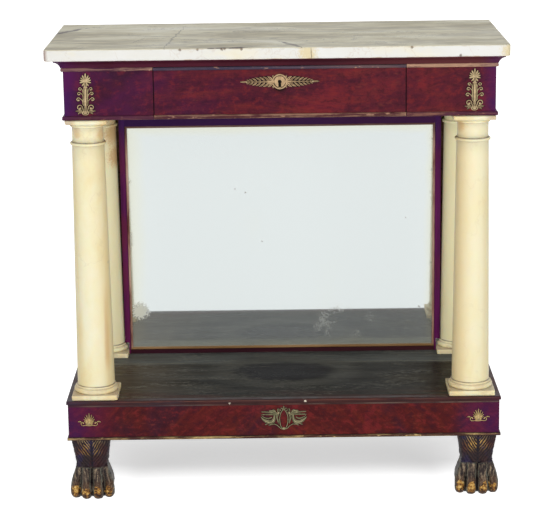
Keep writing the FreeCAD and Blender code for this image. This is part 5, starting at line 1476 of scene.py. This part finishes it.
MARBLE = veined_marble()
BRASS = aged_brass("frieze_brass", (0.24, 0.155, 0.07), (0.80, 0.63, 0.37), share=0.08)
DARK_BRASS = aged_brass("escutcheon_brass", (0.25, 0.155, 0.075), (0.80, 0.56, 0.32), share=0.01)
LIVE_BRASS = aged_brass("corner_brass", (0.42, 0.28, 0.09), (0.86, 0.64, 0.32))
PIN_BRASS = aged_brass("pin_brass", (0.28, 0.19, 0.09), (0.60, 0.48, 0.30), share=-0.9)
GREEN_BRASS = aged_brass("green_brass", (0.15, 0.130, 0.058), (0.48, 0.43, 0.25),
                         hollow=(0.022, 0.022, 0.012), share=0.08)
STONE = alabaster()
PAW = carved_paw()
UPPER_BEAD = worn_moulding("upper_bead", (0.045, 0.011, 0.024), (0.56, 0.335, 0.22), 0.185, 0.45)
LOWER_BEAD = worn_moulding("lower_bead", (0.050, 0.013, 0.024), (0.30, 0.14, 0.09), 0.09,
                           violet=DRAWER_END)
DRAWER_BEAD = worn_moulding("drawer_bead", (0.050, 0.014, 0.016), (0.38, 0.215, 0.14), 0.145,
                            kept=0.90)
PLINTH_BEAD = worn_moulding("plinth_bead", (0.040, 0.016, 0.012), (0.56, 0.40, 0.17), 0.125, 1.0,
                            0.1, lines=(0.1362, 0.1428))

FINISHES = (
    (MARBLE, "marble_top"),
    (crotch_veneer("crotch_frieze", True),
     "drawer_front", "frieze_end_left", "frieze_end_right", "frieze_sides"),
    (crotch_veneer("crotch_plinth", False), "plinth_front", "plinth_sides"),
    (dark_mahogany("dark_mahogany", 0.80), "cornice_front", "cornice_left", "cornice_right"),
    (violet_stile(), "mirror_stiles"),
    (dark_mahogany("deep_mahogany", 0.55, 0.6, 0.85),
     "mirror_rails", "rear_feet", "drawer_top_rail"),
    (UPPER_BEAD, "upper_bead"),
    (LOWER_BEAD, "lower_bead"),
    (DRAWER_BEAD, "drawer_beads"),
    (PLINTH_BEAD, "plinth_bead"),
    (shelf_nosing(), "shelf_edging"),
    (mirror_slip(), "mirror_bead"),
    (shelf_polish(), "shelf_board"),
    (old_mirror(), "mirror_glass"),
    (case_wood("poplar", (0.36, 0.23, 0.12), (0.20, 0.11, 0.055)),
     "drawer_sides", "drawer_back", "drawer_bottom", "drawer_bottom_rail", "drawer_kickers",
     "drawer_runners", "drawer_stops", "foot_dowels"),
    (case_wood("old_pine", (0.24, 0.14, 0.07), (0.12, 0.065, 0.032)),
     "back_panel", "frieze_back", "frieze_corner_blocks", "mirror_backboard", "plinth_back",
     "plinth_blocks"),
    (iron("lock_iron", (0.12, 0.10, 0.08)), "lock_case", "lock_cover", "lock_screws"),
    (iron("iron", (0.20, 0.19, 0.18)), "tie_rods", "tie_rod_nuts", "lock_bolt"),
    (STONE,
     "base_front_left", "base_front_right", "bases_rear", "capital_front_left",
     "capital_front_right", "capitals_rear", "shaft_front_left", "shaft_front_right",
     "shafts_rear"),
    (BRASS,
     "frieze_mount_left", "frieze_mount_right", "plinth_corner_mounts", "plinth_mount_centre",
     "escutcheon"),
    (PIN_BRASS, "mount_pins", "escutcheon_pins"),
    (PAW, "paw_foot_left", "paw_foot_right"),
)
for finish, *names in FINISHES:
    assign(finish, *names)

# ---------------------------------------------------------------- detailed pieces

frieze_mount(-1, "left", -0.025)
frieze_mount(1, "right", 0)
escutcheon_plate()
plinth_corner_ornaments()
plinth_centre_ornament()
columns(STONE)
marble_slab(MARBLE)
paw_feet(PAW)
